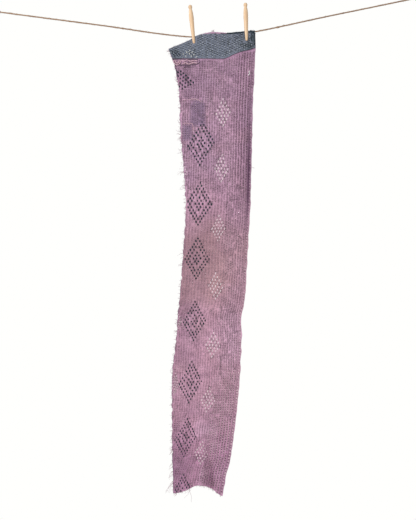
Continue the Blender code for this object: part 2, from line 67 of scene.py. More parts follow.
# The cloth's levels, as in the CAD model: the drop, the two edges and five stations of depth across it.
LEVELS = np.array([
    (0.0565, 0.5000, 0.7495, -0.0030, -0.0030, -0.0030, -0.0030, -0.0030),
    (0.1100, 0.5010, 0.7505, -0.0100, -0.0030, -0.0042, -0.0034, -0.0031),
    (0.1350, 0.5105, 0.7490, -0.0096, -0.0038, -0.0055, -0.0042, -0.0032),
    (0.1600, 0.5185, 0.7480, -0.0084, -0.0050, -0.0064, -0.0048, -0.0034),
    (0.2000, 0.5265, 0.7465, -0.0060, -0.0062, -0.0078, -0.0056, -0.0036),
    (0.2400, 0.5320, 0.7440, -0.0044, -0.0072, -0.0086, -0.0062, -0.0040),
    (0.3400, 0.5350, 0.7410, -0.0030, -0.0082, -0.0092, -0.0074, -0.0048),
    (0.4600, 0.5450, 0.7380, -0.0048, -0.0090, -0.0080, -0.0096, -0.0064),
    (0.5600, 0.5500, 0.7350, -0.0080, -0.0096, -0.0058, -0.0064, -0.0092),
    (0.6600, 0.5455, 0.7290, -0.0104, -0.0076, -0.0036, -0.0052, -0.0110),
    (0.7800, 0.5370, 0.7230, -0.0098, -0.0050, -0.0026, -0.0076, -0.0094),
    (0.8300, 0.5320, 0.7185, -0.0090, -0.0044, -0.0030, -0.0088, -0.0056),
    (0.8850, 0.5260, 0.7090, -0.0080, -0.0040, -0.0042, -0.0080, -0.0010),
    (0.9250, 0.5240, 0.7110, -0.0068, -0.0044, -0.0056, -0.0066, -0.0026),
    (1.0400, 0.5120, 0.7060, -0.0040, -0.0070, -0.0096, -0.0054, -0.0048),
    (1.1600, 0.5110, 0.6950, -0.0034, -0.0104, -0.0124, -0.0030, -0.0020),
    (1.2800, 0.5120, 0.6790, -0.0062, -0.0140, -0.0150, -0.0004, -0.0010),
    (1.3300, 0.5140, 0.6660, -0.0086, -0.0160, -0.0156, 0.0010, -0.0040),
    (1.3890, 0.5145, 0.6555, -0.0130, -0.0184, -0.0150, 0.0012, -0.0090),
])

# The cut ends, as in the CAD model: part of the way from left to right, and the drop there.
TOP_EDGE = np.array([(0.00, 0.1100), (0.13, 0.0960), (0.25, 0.0822), (0.31, 0.0722), (0.42, 0.0637),
                     (0.50, 0.0600), (0.61, 0.0614), (0.70, 0.0626), (0.80, 0.0600), (0.90, 0.0570),
                     (0.98, 0.0565), (1.00, 0.0650)])
BOTTOM_EDGE = np.array([(0.00, 1.3803), (0.16, 1.3753), (0.31, 1.3660), (0.42, 1.3578), (0.50, 1.3561),
                        (0.61, 1.3590), (0.74, 1.3700), (0.88, 1.3822), (1.00, 1.3889)])
PANEL_LOWER_EDGE = np.array([(0.00, 0.1380), (0.30, 0.1366), (0.61, 0.1373), (0.67, 0.1337), (0.75, 0.1243),
                             (0.85, 0.1159), (0.93, 0.1114), (1.00, 0.1053)])

# The soft creases, as in the CAD model.
Crease = namedtuple("Crease", "top_x top_drop foot_x foot_drop half_width depth")
CREASES = [
    Crease(0.566, 0.095, 0.520, 0.200, 0.020, -0.0022),
    Crease(0.683, 0.520, 0.694, 0.900, 0.015, 0.0034),
    Crease(0.652, 0.815, 0.706, 0.884, 0.011, 0.0042),
    Crease(0.636, 1.010, 0.646, 1.110, 0.009, 0.0036),
    Crease(0.606, 1.190, 0.632, 1.390, 0.012, 0.0100),
    Crease(0.592, 1.250, 0.602, 1.390, 0.010, -0.0056),
    Crease(0.662, 1.235, 0.640, 1.320, 0.009, -0.0040),
]

# Where each peg grips: its place along the line and the drop of its tips.
PEG_GRIPS = [(0.5740, 0.0927), (0.7247, 0.0855)]

# The running stitches of the ground, in fields: the part of the cloth that a field covers, the gap between
# its rows and from stitch to stitch, how far each row starts behind the one before as a share of the pitch,
# and the length and width of the thread that shows.
StitchField = namedtuple("StitchField", "s_from s_to t_from t_to row_gap pitch shift length width")
STITCH_FIELDS = [
    StitchField(0.0105, 0.0495, 0.105, 0.500, 0.0078, 0.0072, 0.50, 0.0042, 0.0021),
    StitchField(0.0495, 0.0700, 0.120, 0.500, 0.0068, 0.0078, 0.50, 0.0042, 0.0020),
    StitchField(0.0105, 0.0700, 0.500, 0.860, 0.0068, 0.0072, 0.50, 0.0040, 0.0022),
    StitchField(0.0105, 0.0700, 0.860, 1.160, 0.0064, 0.0068, 0.00, 0.0040, 0.0022),
    StitchField(0.0105, 0.0495, 1.160, 1.400, 0.0078, 0.0070, 0.22, 0.0046, 0.0022),
    StitchField(0.0495, 0.0760, 1.160, 1.400, 0.0066, 0.0070, 0.22, 0.0046, 0.0022),
    StitchField(0.0700, 0.1750, 0.130, 0.300, 0.0068, 0.0064, 0.00, 0.0036, 0.0018),
    StitchField(0.0700, 0.1750, 0.300, 0.520, 0.0068, 0.0072, 0.50, 0.0038, 0.0018),
    StitchField(0.1750, 0.2500, 0.130, 0.520, 0.0068, 0.0066, 0.00, 0.0038, 0.0018),
    StitchField(0.0700, 0.2100, 0.520, 0.860, 0.0090, 0.0094, 0.50, 0.0044, 0.0020),
    StitchField(0.0700, 0.2100, 0.860, 1.160, 0.0070, 0.0074, 0.50, 0.0040, 0.0019),
    StitchField(0.0760, 0.2100, 1.160, 1.400, 0.0066, 0.0062, 0.00, 0.0038, 0.0019),
]

# The figure under the blue end's left: a slanting net of dark stitches that the left edge cuts. Its top
# stitch's x and drop, and the steps in x and drop along its two directions.
SIDE_NET = ((0.5369, 0.1731), (0.0070, 0.0066), (-0.0080, 0.0041))

# The lozenges: the middle's x and drop, half the width and height, how much the right point stands above the
# left one, and how far the top point stands to the right of the bottom one.
Lozenge = namedtuple("Lozenge", "x t half_width half_height rise slant")
DARK_LOZENGES = [
    Lozenge(0.5941, 0.3800, 0.0369, 0.0608, 0.0100, 0.0077),
    Lozenge(0.5881, 0.5525, 0.0360, 0.0600, 0.0000, 0.0063),
    Lozenge(0.5823, 0.7088, 0.0340, 0.0578, 0.0000, 0.0052),
    Lozenge(0.5749, 0.8880, 0.0311, 0.0550, 0.0049, 0.0045),
    Lozenge(0.5635, 1.0625, 0.0316, 0.0577, 0.0106, 0.0080),
    Lozenge(0.5499, 1.2210, 0.0297, 0.0525, 0.0130, 0.0100),
    Lozenge(0.5401, 1.3780, 0.0280, 0.0510, 0.0120, 0.0090),
]
PALE_LOZENGES = [
    Lozenge(0.6572, 0.2920, 0.0192, 0.0371, 0.0041, 0.0006),
    Lozenge(0.6525, 0.4515, 0.0184, 0.0376, -0.0040, 0.0026),
    Lozenge(0.6436, 0.6225, 0.0176, 0.0343, 0.0010, 0.0041),
    Lozenge(0.6360, 0.7885, 0.0190, 0.0355, -0.0080, 0.0000),
    Lozenge(0.6280, 0.9566, 0.0196, 0.0338, -0.0030, 0.0051),
    Lozenge(0.6141, 1.1130, 0.0182, 0.0325, -0.0050, 0.0080),
    Lozenge(0.5950, 1.2637, 0.0172, 0.0300, -0.0080, 0.0060),
    Lozenge(0.5410, 0.4600, 0.0120, 0.0280, 0.0000, 0.0020),
    Lozenge(0.5260, 0.8880, 0.0110, 0.0270, 0.0000, 0.0040),
    Lozenge(0.5190, 1.0690, 0.0110, 0.0300, 0.0000, 0.0040),
]


def cubic(f):
    """The shares, at f of the way, of both ends' values and then of both ends' slopes."""
    return 2 * f**3 - 3 * f**2 + 1, 3 * f**2 - 2 * f**3, f**3 - 2 * f**2 + f, f**3 - f**2


def smooth_curve(at, places, values):
    """The smooth curve through a table's rows, held level past its ends.

    Between two rows it is a cubic that has each row's value, and for slope the slope between its neighbours.
    """
    places = np.asarray(places, dtype=float)
    values = np.asarray(values, dtype=float)
    rows = np.arange(len(places))
    low = np.maximum(rows - 1, 0)
    high = np.minimum(rows + 1, len(places) - 1)
    slopes = (values[high] - values[low]) / (places[high] - places[low])
    at = np.clip(at, places[0], places[-1])
    row = np.clip(np.searchsorted(places, at, side="right") - 1, 0, len(places) - 2)
    span = places[row + 1] - places[row]
    start, end, leave, meet = cubic((at - places[row]) / span)
    level = values[row] * start + values[row + 1] * end
    return level + span * (slopes[row] * leave + slopes[row + 1] * meet)


def left_edge(t):
    return smooth_curve(t, LEVELS[:, 0], LEVELS[:, 1])


def right_edge(t):
    return smooth_curve(t, LEVELS[:, 0], LEVELS[:, 2])


def width_at(t):
    return right_edge(t) - left_edge(t)


def edge_drop(edge, across):
    return smooth_curve(across, edge[:, 0], edge[:, 1])


def station_depth(across, t):
    """The depth between the five stations: the same smooth curve, through values that change with t."""
    values = np.stack([smooth_curve(t, LEVELS[:, 0], LEVELS[:, 3 + k]) for k in range(5)])
    slopes = np.empty_like(values)
    slopes[0] = values[1] - values[0]
    slopes[-1] = values[-1] - values[-2]
    slopes[1:-1] = (values[2:] - values[:-2]) / 2
    along = np.clip(across, 0.0, 1.0) * 4
    row = np.minimum(along.astype(int), 3)
    start, end, leave, meet = cubic(along - row)

    def pick(table, k):
        return np.take_along_axis(table, (row + k)[None], axis=0)[0]

    level = pick(values, 0) * start + pick(values, 1) * end
    return level + pick(slopes, 0) * leave + pick(slopes, 1) * meet


def ramp(value, start, run):
    """Nought up to the start, one from the run's end on, and even between them."""
    return np.clip((value - start) / run, 0.0, 1.0)


def bell(value, middle, half, power=2):
    """One at the middle, falling away on both sides: flatter and steeper with a higher power."""
    return np.exp(-(((value - middle) / half) ** power))


def fall(value, middle, softness):
    """One well below the middle and nought well above it."""
    return 1 / (1 + np.exp((value - middle) / softness))


def running(gaps):
    """The distance to each point of a path, from the gaps between them."""
    return np.concatenate([[0.0], np.cumsum(gaps)])


def crease_depth(x, t):
    """How far the creases push the cloth back: along each run a sine, across it a bell curve."""
    depth = np.zeros_like(x)
    for crease in CREASES:
        run_x = crease.foot_x - crease.top_x
        run_t = crease.foot_drop - crease.top_drop
        reach = math.hypot(run_x, run_t)
        along = ((x - crease.top_x) * run_x + (t - crease.top_drop) * run_t) / reach**2
        away = ((x - crease.top_x) * run_t - (t - crease.top_drop) * run_x) / reach
        waves = 0.5 if crease.foot_drop > BOTTOM_EDGE[-1, 1] else 1.0
        rise = np.where((along > 0) & (along < 1), np.sin(math.pi * waves * along), 0.0)
        depth += crease.depth * rise * bell(away, 0, crease.half_width)
    return depth


def middle_of_cloth(s, t):
    """The point in the middle of the cloth's thickness at s and t, arrays of any one shape."""
    s, t = np.broadcast_arrays(np.asarray(s, dtype=float), np.asarray(t, dtype=float))
    right = right_edge(t)
    x = right - s
    across = 1 - s / (right - left_edge(t))
    y = station_depth(across, t) + crease_depth(x, t)
    return np.stack((x, y, -t), axis=-1)


def unit(vectors):
    return vectors / np.maximum(np.linalg.norm(vectors, axis=-1, keepdims=True), 1e-12)


def cloth_axes(s, t):
    """Unit vectors at each place: in from the hem, down the cloth, and out of its front."""
    step = 0.0006
    inward = unit(middle_of_cloth(s + step, t) - middle_of_cloth(s - step, t))
    down = unit(middle_of_cloth(s, t + step) - middle_of_cloth(s, t - step))
    return inward, down, unit(np.cross(inward, down))


def make_mesh(name, points, quads, triangles=(), uv=None, values=None):
    """A smooth-shaded mesh from arrays: points, corner numbers of its faces, and a value at each point."""
    quads = np.asarray(quads, dtype=np.int32).reshape(-1, 4)
    triangles = np.asarray(triangles, dtype=np.int32).reshape(-1, 3)
    corners = np.concatenate([quads.ravel(), triangles.ravel()])
    starts = np.concatenate([np.arange(len(quads)) * 4, 4 * len(quads) + np.arange(len(triangles)) * 3])
    mesh = bpy.data.meshes.new(name)
    mesh.vertices.add(len(points))
    mesh.vertices.foreach_set("co", np.asarray(points, dtype=np.float32).ravel())
    mesh.loops.add(len(corners))
    mesh.loops.foreach_set("vertex_index", corners)
    mesh.polygons.add(len(starts))
    mesh.polygons.foreach_set("loop_start", starts.astype(np.int32))
    mesh.update(calc_edges=True)
    if uv is not None:
        mesh.uv_layers.new(name="UVMap").data.foreach_set(
            "uv", np.asarray(uv, dtype=np.float32)[corners].ravel())
    for key, numbers in (values or {}).items():
        mesh.attributes.new(key, "FLOAT", "POINT").data.foreach_set(
            "value", np.asarray(numbers, dtype=np.float32).ravel())
    mesh.validate()
    mesh.shade_smooth()
    return mesh


def add_piece(mesh, material):
    """Link a mesh as a piece of the object, under its own name and with this material."""
    piece = bpy.data.objects.new(mesh.name, mesh)
    bpy.context.scene.collection.objects.link(piece)
    mesh.materials.append(material)
    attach(piece, "root")
    return piece


def closed_sheet(name, front, back, front_uv, back_uv, front_values, back_values):
    """A closed sheet from a front grid and a back grid that has every second point of it, or every point.

    Grids go row by row from the top left as the front is seen. The rim joins their borders all round.
    """
    rows, columns = front.shape[0] - 1, front.shape[1] - 1
    ratio = rows // (back.shape[0] - 1)
    front_ids = np.arange(front.shape[0] * front.shape[1]).reshape(front.shape[:2])
    back_ids = front_ids.size + np.arange(back.shape[0] * back.shape[1]).reshape(back.shape[:2])

    def faces(ids, order):
        corners = [ids[:-1, :-1], ids[1:, :-1], ids[1:, 1:], ids[:-1, 1:]]
        return np.stack([corners[k].ravel() for k in order], axis=1)

    def around(ids):
        return np.concatenate([ids[:-1, 0], ids[-1, :-1], ids[:0:-1, -1], ids[0, :0:-1]])

    outer, inner = around(front_ids), around(back_ids)
    next_outer, next_inner = np.roll(outer, -1), np.roll(inner, -1)
    if ratio == 1:
        rim = np.stack([outer, inner, next_inner, next_outer], axis=1)
        corners = np.zeros((0, 3), dtype=int)
    else:
        half = outer[1::2]
        rim = np.stack([half, inner, next_inner, next_outer[1::2]], axis=1)
        corners = np.stack([outer[::2], inner, half], axis=1)
    quads = np.concatenate([faces(front_ids, (0, 1, 2, 3)), faces(back_ids, (3, 2, 1, 0)), rim])
    points = np.concatenate([front.reshape(-1, 3), back.reshape(-1, 3)])
    uv = np.concatenate([front_uv.reshape(-1, 2), back_uv.reshape(-1, 2)])
    values = {key: np.concatenate([front_values[key].ravel(), back_values[key].ravel()])
              for key in front_values}
    return make_mesh(name, points, quads, corners, uv, values)


def ring_faces(count, sides, closed=False):
    """Quads between rings of points, and triangles that close both ends on the two points after the rings."""
    ring = np.arange(sides)
    following = (ring + 1) % sides
    here = (np.arange(count if closed else count - 1) * sides)[:, None]
    there = (here + sides) % (count * sides)
    quads = np.stack([here + ring, here + following, there + following, there + ring], axis=-1).reshape(-1, 4)
    if closed:
        return quads, np.zeros((0, 3), dtype=int)
    last, tip = (count - 1) * sides, np.full(sides, count * sides)
    return quads, np.concatenate([np.stack([tip, following, ring], axis=1),
                                  np.stack([tip + 1, last + ring, last + following], axis=1)])


def repeated_mesh(name, points, quads, triangles, uv, values):
    """One mesh of many like shapes: points is (shape, point, xyz), and a shape has one number of each value."""
    count, per = points.shape[:2]
    first = (np.arange(count) * per)[:, None, None]
    return make_mesh(name, points.reshape(-1, 3), first + quads, first + triangles, np.tile(uv, (count, 1)),
                     {key: np.repeat(numbers, per) for key, numbers in values.items()})


def round_uv(u, turn):
    """The map of rings with a point at each end: along the shape, and once round it."""
    return np.stack([np.append(u, [0.0, 1.0]), np.append(turn / 6.3, [0.5, 0.5])], axis=1)


def beads(name, centre, along, side, out, length, width, height, values, sides=6, rings=(-0.68, 0.0, 0.68)):
    """Short stitches as rounded grains, all in one mesh.

    At u from -1 to 1 along a grain its radius is the square root of 1 - u squared, and its middle rises by
    1 - u squared, so that both ends dip into the cloth.
    """
    angles = np.arange(sides) * 2 * math.pi / sides
    u, turn = np.repeat(rings, sides)[None], np.tile(angles, len(rings))[None]
    radius = np.sqrt(1 - u**2)

    def part(u, across, up):
        lift = (0.62 * (1 - u**2) - 0.42 + 0.5 * up) * height
        return (centre[:, None] + along[:, None] * (u * length[:, None] / 2)[..., None]
                + side[:, None] * (across * width[:, None] / 2)[..., None] + out[:, None] * lift[..., None])

    body = part(u, radius * np.cos(turn), radius * np.sin(turn))
    ends = part(np.array([[-1.0, 1.0]]), np.zeros((1, 2)), np.zeros((1, 2)))
    order = 1 if np.einsum("ij,ij->i", np.cross(side, out), along).mean() > 0 else -1
    quads, triangles = (faces[:, ::order] for faces in ring_faces(len(rings), sides))
    return repeated_mesh(name, np.concatenate([body, ends], axis=1), quads, triangles,
                         round_uv((u[0] + 1) / 2, turn[0]), values)


def around_path(path, tangent, radius, angles, nudge):
    """Rings of points round a path. The nudge settles a side for a tangent that points at the viewer."""
    side = unit(np.cross(tangent, FORWARD) + np.array(nudge))
    up = np.cross(side, tangent)
    return path[..., None, :] + radius[..., None] * (side[..., None, :] * np.cos(angles)[:, None]
                                                     + up[..., None, :] * np.sin(angles)[:, None])


def tubes(name, paths, radius, sides, values):
    """Round threads along many paths at once: paths is (thread, step, xyz) and radius (thread, step)."""
    count, steps = paths.shape[:2]
    angles = np.arange(sides) * 2 * math.pi / sides
    rings = around_path(paths, unit(np.gradient(paths, axis=1)), radius[..., None], angles, (1e-6, 0.0, 0.0))
    points = np.concatenate([rings.reshape(count, -1, 3), paths[:, :1], paths[:, -1:]], axis=1)
    quads, triangles = (faces[:, ::-1] for faces in ring_faces(steps, sides))
    uv = round_uv(np.repeat(np.linspace(0, 1, steps), sides), np.tile(angles, steps))
    return repeated_mesh(name, points, quads, triangles, uv, values)


def rope(name, path, radius, lay, sides=16, closed=False):
    """Two-ply twine along a path of evenly spaced points.

    The section is a circle pinched on two sides: its radius is the outer radius times 0.80 + 0.20 times the
    0.8th power of the cosine of the angle from its long axis, which turns once in each lay's length.
    """
    steps = len(path)
    distance = running(np.linalg.norm(np.diff(path, axis=0), axis=1))
    if closed:
        tangent = unit(np.roll(path, -1, axis=0) - np.roll(path, 1, axis=0))
        whole = distance[-1] + np.linalg.norm(path[0] - path[-1])
        lay = whole / max(1, round(whole / lay))
    else:
        tangent = unit(np.gradient(path, axis=0))
    angles = np.arange(sides) * 2 * math.pi / sides
    phase = distance / lay * 2 * math.pi
    away = np.abs(np.cos(angles[None] - phase[:, None])) ** 0.8
    reach = np.broadcast_to(radius, (steps,))[:, None] * (0.80 + 0.20 * away)
    points = around_path(path, tangent, reach, angles, (1e-9, 0.0, 1e-7)).reshape(-1, 3)
    uv = np.stack([np.repeat(distance, sides), np.tile(angles, steps)], axis=1)
    groove = (1 - away).ravel()
    quads, triangles = (np.roll(faces[:, ::-1], 1, axis=1) for faces in ring_faces(steps, sides, closed))
    if not closed:
        points = np.concatenate([points, path[:1], path[-1:]])
        uv = np.concatenate([uv, uv[:1], uv[-1:]])
        groove = np.append(groove, [0.0, 0.0])
    return make_mesh(name, points, quads, triangles, uv, {"groove": groove})


# The camera is level with the middle of the frame and square on to the cloth.
FRAME_MIDDLE = (0.614, -0.7135)
FRAME_HEIGHT = 1.4924
LENS = 60.0
SENSOR = 36.0


def add_camera():
    data = bpy.data.cameras.new("camera")
    data.lens, data.sensor_width = LENS, SENSOR
    data.clip_start, data.clip_end = 0.05, 50.0
    camera = bpy.data.objects.new("camera", data)
    bpy.context.scene.collection.objects.link(camera)
    camera.location = (FRAME_MIDDLE[0], -FRAME_HEIGHT / (SENSOR / LENS), FRAME_MIDDLE[1])
    camera.rotation_euler = (math.radians(90), 0.0, 0.0)
    bpy.context.scene.camera = camera


class Signal:
    """A shader socket that takes part in sums like a number."""

    def __init__(self, tree, socket):
        self.tree = tree
        self.socket = socket

    def using(self, operation, other=0.0, swapped=False):
        node = self.tree.nodes.new("ShaderNodeMath")
        node.operation = operation
        for socket, value in zip(node.inputs, [other, self] if swapped else [self, other]):
            join(self.tree, value, socket)
        return Signal(self.tree, node.outputs[0])

    def __add__(self, other):
        return self.using("ADD", other)

    def __radd__(self, other):
        return self.using("ADD", other, True)

    def __sub__(self, other):
        return self.using("SUBTRACT", other)

    def __rsub__(self, other):
        return self.using("SUBTRACT", other, True)

    def __mul__(self, other):
        return self.using("MULTIPLY", other)

    def __rmul__(self, other):
        return self.using("MULTIPLY", other, True)

    def __pow__(self, other):
        return self.using("POWER", other)

    def __neg__(self):
        return self.using("MULTIPLY", -1.0)

    def sine(self):
        return self.using("SINE")

    def held(self):
        """Kept between nought and one."""
        return self.using("MAXIMUM", 0.0).using("MINIMUM", 1.0)


def join(tree, value, socket):
    """Feed a socket with another socket, or set its own value."""
    if isinstance(value, Signal):
        tree.links.new(value.socket, socket)
    elif isinstance(value, (tuple, list)) and len(value) == 3 and len(socket.default_value) == 4:
        socket.default_value = (*value, 1.0)
    else:
        socket.default_value = value


class Finish:
    """One material: its nodes, and the Principled shader at their end."""

    def __init__(self, name, roughness=0.9, **constants):
        self.material = bpy.data.materials.new(name)
        self.material.use_nodes = True
        self.tree = self.material.node_tree
        self.shader = self.tree.nodes["Principled BSDF"]
        self.shader.inputs["Roughness"].default_value = roughness
        for key, value in constants.items():
            join(self.tree, value, self.shader.inputs[key.replace("_", " ")])

    def add(self, kind, settings=None, values=None, output=0):
        """Any node: its type, its settings and the values or signals of its inputs."""
        node = self.tree.nodes.new(kind)
        for key, value in (settings or {}).items():
            setattr(node, key, value)
        for key, value in (values or {}).items():
            join(self.tree, value, node.inputs[key])
        return Signal(self.tree, node.outputs[output])

    def axes(self, vector):
        node = self.tree.nodes.new("ShaderNodeSeparateXYZ")
        join(self.tree, vector, node.inputs[0])
        return [Signal(self.tree, output) for output in node.outputs]

    def vector(self, x, y, z=0.0):
        return self.add("ShaderNodeCombineXYZ", None, {0: x, 1: y, 2: z})

    def uv(self):
        return self.axes(self.add("ShaderNodeUVMap", {"uv_map": "UVMap"}))[:2]

    def place(self):
        """The place in the object's own metres."""
        return self.add("ShaderNodeTexCoord", None, None, "Object")

    def stored(self, name):
        return self.add("ShaderNodeAttribute", {"attribute_name": name}, None, "Fac")

    def noise(self, vector, scale=1.0, detail=3.0, roughness=0.55):
        return self.add("ShaderNodeTexNoise", {"noise_dimensions": "3D"},
                        {"Vector": vector, "Scale": scale, "Detail": detail, "Roughness": roughness})

    def fleck(self, x, y, layer):
        """Plain noise either side of nought, whose grain is 1 unit of x and of y."""
        return self.noise(self.vector(x, y, layer), detail=1.0) - 0.5

    def step(self, value, low, high):
        """Nought below low, one above high, and a smooth rise between them."""
        return self.add("ShaderNodeMapRange", {"interpolation_type": "SMOOTHSTEP"},
                        {"Value": value, "From Min": low, "From Max": high})

    def blend(self, share, first, second, way="MIX"):
        """A colour between two others."""
        node = self.tree.nodes.new("ShaderNodeMix")
        node.data_type = "RGBA"
        node.blend_type = way
        node.clamp_factor = True
        join(self.tree, share, node.inputs["Factor"])
        for value, socket in ((first, node.inputs[6]), (second, node.inputs[7])):
            join(self.tree, value, socket)
        return Signal(self.tree, node.outputs[2])

    def layers(self, base, *coats):
        """A colour with others over it, each given as its share and its screen colour."""
        for share, tone in coats:
            base = self.blend(share, base, linear(*tone))
        return base

    def shaded(self, colour, shade):
        """The base colour is this one times a number."""
        grey = self.add("ShaderNodeCombineColor", None, {0: shade, 1: shade, 2: shade})
        self.colour(self.blend(1.0, colour, grey, "MULTIPLY"))

    def colour(self, value):
        join(self.tree, value, self.shader.inputs["Base Color"])

    def rough(self, value):
        join(self.tree, value, self.shader.inputs["Roughness"])

    def bump(self, height, distance, strength=1.0):
        """Relief from a height between nought and one, that deep in metres."""
        made = self.add("ShaderNodeBump", None, {"Height": height, "Distance": distance, "Strength": strength})
        join(self.tree, made, self.shader.inputs["Normal"])


def linear(red, green, blue):
    """A screen colour from 0 to 255 as the linear one that shaders take."""
    parts = np.array([red, green, blue]) / 255
    made = np.where(parts <= 0.04045, parts / 12.92, ((parts + 0.055) / 1.055) ** 2.4)
    return tuple(float(v) for v in made)


def woven(finish, pitch):
    """Plain weave from the sheet's own s and t: the product of two sines, and slubs along each thread."""
    s, t = finish.uv()
    warp = (s * (math.pi / pitch)).sine()
    weft = (t * (math.pi / pitch)).sine()
    long_slubs = finish.noise(finish.vector(s * 700.0, t * 110.0), detail=2.0)
    cross_slubs = finish.noise(finish.vector(s * 110.0, t * 700.0, 7.0), detail=2.0)
    return s, t, warp * weft * 0.5 + 0.5, long_slubs, cross_slubs


def plum_finish(name, shade_tone):
    """Washed plum cotton: rosier low down, violet above, mottled, with painted shade in the hollows at the
    stitches' ends and in the furrows by the hem, and a painted highlight on the puffs.
    """
    finish = Finish(name, 0.92, Sheen_Weight=0.12, Sheen_Roughness=0.6, Specular_IOR_Level=0.15)
    s, t, weave, long_slubs, cross_slubs = woven(finish, 0.00052)
    warm, brown, deep, dent, puff, rib = map(finish.stored, ("warm", "brown", "deep", "dent", "puff", "rib"))
    mottle = finish.noise(finish.vector(s, t), 16.0, 4.0, 0.6)
    stain = finish.noise(finish.vector(s, t, 3.0), 34.0, 3.0, 0.6)
    wander = finish.noise(finish.vector(0.0, t, 5.0), 40.0, 2.0) - 0.5
    furrow_shade = ((s - FURROW_START + wander * 0.0016) * (2 * math.pi / FURROW_GAP) + math.pi / 2).sine()
    broken = finish.step(finish.noise(finish.vector(s * 70.0, t * 26.0, 17.0), detail=1.0), 0.36, 0.62)
    furrow_shade = (furrow_shade * 0.5 + 0.5) ** 2.5 * rib
    # In these layers deep brings broad darker places, partly painted shade by the hem, in the lower fold's crease
    # and along the edges, and below nought lighter ones, partly a painted highlight on the fold's ridge. The last
    # layer is painted shade in the hem's furrows.
    base = finish.layers(
        linear(171, 136, 162),
        (warm, (198, 153, 175)),
        (finish.step(mottle, 0.42, 0.72) * 0.55, (194, 153, 177)),
        (finish.step(stain, 0.52, 0.75) * 0.35, (150, 108, 138)),
        (brown, (176, 138, 146)),
        (finish.step(t, 1.10, 1.30) * 0.30, (186, 122, 170)),
        (deep.held(), shade_tone),
        ((-deep).held(), (222, 180, 208)),
        (furrow_shade * (0.22 + broken * 0.48), (98, 64, 84)))
    crosswise = finish.fleck(s * 50.0, t * 330.0, 13.0) * (1.15 - finish.step(t, 0.42, 0.60) * 0.40)
    streak = ((long_slubs - 0.5) * 0.50 + (cross_slubs - 0.5) * 0.50
              + finish.fleck(s * 330.0, t * 50.0, 11.0) * 0.24 + crosswise)
    # Brighter on the puffs, a painted highlight, and darker in the hollows where the threads dive in, painted
    # shade.
    finish.shaded(base, (1.0 + streak) * (0.90 + puff * 0.26) * (1.0 - dent * 0.58) * (0.93 + weave * 0.14))
    finish.rough(0.86 + weave * 0.08)
    finish.bump(weave * 0.5 + long_slubs * 0.8 + cross_slubs * 0.8 + puff * 0.6, 0.00042, 0.8)
    return finish.material


def slate_finish():
    """Slate chambray: pale and dark yarns across each other, with a painted highlight on the puffs and painted
    shade in the stitches' hollows.
    """
    finish = Finish("slate_cotton_cloth", 0.92, Sheen_Weight=0.2, Sheen_Roughness=0.6, Specular_IOR_Level=0.18)
    s, t, weave, long_slubs, cross_slubs = woven(finish, 0.00060)
    dent, puff, deep = map(finish.stored, ("dent", "puff", "deep"))
    mottle = finish.noise(finish.vector(s, t, 1.0), 26.0, 4.0, 0.6)
    patchy = finish.step(finish.noise(finish.vector(s, t, 9.0), 85.0, 2.0), 0.30, 0.62)
    # The dark layer follows deep: on the blue end partly painted shadow of the right peg and painted shade along
    # its rim.
    base = finish.layers(
        linear(98, 106, 124),
        (finish.step(weave, 0.2, 0.8), (126, 132, 147)),
        (finish.step(mottle, 0.48, 0.75) * 0.5, (136, 138, 152)),
        (deep * (0.25 + patchy * 0.75), (42, 56, 60)))
    streak = ((long_slubs - 0.5) * 0.5 + (cross_slubs - 0.5) * 0.5
              + (finish.fleck(s * 300.0, t * 80.0, 11.0) + finish.fleck(s * 80.0, t * 300.0, 13.0)) * 0.40)
    # Brighter on the puffs as painted highlight, darker in the stitches' hollows as painted shade.
    finish.shaded(base, (1.0 + streak) * (0.51 + puff * 0.60) * (1.0 - dent * 0.85))
    finish.bump(weave * 0.5 + long_slubs + cross_slubs, 0.00040, 0.8)
    return finish.material


# The threads' screen colours: two tones from stitch to stitch, and the worn one.
THREADS = {
    "plum": ((180, 136, 166), (250, 222, 230), (182, 140, 166)),
    "frayed": ((178, 132, 152), (196, 156, 168), (150, 110, 134)),
    "dark": ((2, 26, 38), (6, 44, 58), (24, 44, 64)),
    "violet": ((58, 40, 66), (74, 54, 80), (96, 70, 96)),
    "rose": ((218, 174, 194), (228, 188, 200), (198, 154, 178)),
    "white": ((250, 246, 250), (255, 252, 252), (240, 230, 238)),
    "pale": ((246, 226, 236), (252, 234, 238), (238, 212, 224)),
    "ivory": ((214, 216, 212), (232, 232, 226), (190, 196, 198)),
    "blue": ((146, 156, 172), (182, 190, 202), (112, 120, 138)),
}


def thread_finish(name, plies=5.0):
    """Twisted thread: slanting plies, two tones from stitch to stitch, and some of it faded by wear."""
    first, second, worn = THREADS[name]
    finish = Finish(name + "_thread", 0.72, Sheen_Weight=0.3, Sheen_Roughness=0.5, Specular_IOR_Level=0.3)
    u, v = finish.uv()
    ply = ((u * plies + v) * (2 * math.pi)).sine() * 0.5 + 0.5
    fibre = finish.noise(finish.place(), 1400.0, 2.0)
    faded = finish.noise(finish.place(), 60.0, 2.0)
    base = finish.layers(linear(*first), (finish.stored("tone"), second),
                         (finish.step(faded, 0.50, 0.72) * 0.7, worn))
    finish.shaded(base, 0.74 + ply * 0.26 + (fibre - 0.5) * 0.5)
    finish.bump(ply + fibre * 0.5, 0.0003, 0.8)
    return finish.material


def jute_finish():
    """Jute twine: hard fibres along the lay, with painted shade in the groove between the plies."""
    finish = Finish("jute_twine", 0.85, Sheen_Weight=0.15, Specular_IOR_Level=0.3)
    u, v = finish.uv()
    fibre = finish.noise(finish.vector(u * 240.0, (v + u * 300.0) * 3.2), detail=3.0)
    patch = finish.noise(finish.place(), 70.0, 3.0)
    # The last layer is painted shade in the groove between the plies.
    finish.colour(finish.layers(
        linear(128, 96, 74),
        (finish.step(fibre, 0.30, 0.72), (184, 152, 122)),
        (finish.step(patch, 0.45, 0.75) * 0.4, (198, 170, 140)),
        (finish.step(finish.stored("groove"), 0.30, 0.95) * 0.75, (92, 66, 48))))
    finish.bump(fibre, 0.0004, 0.9)
    return finish.material


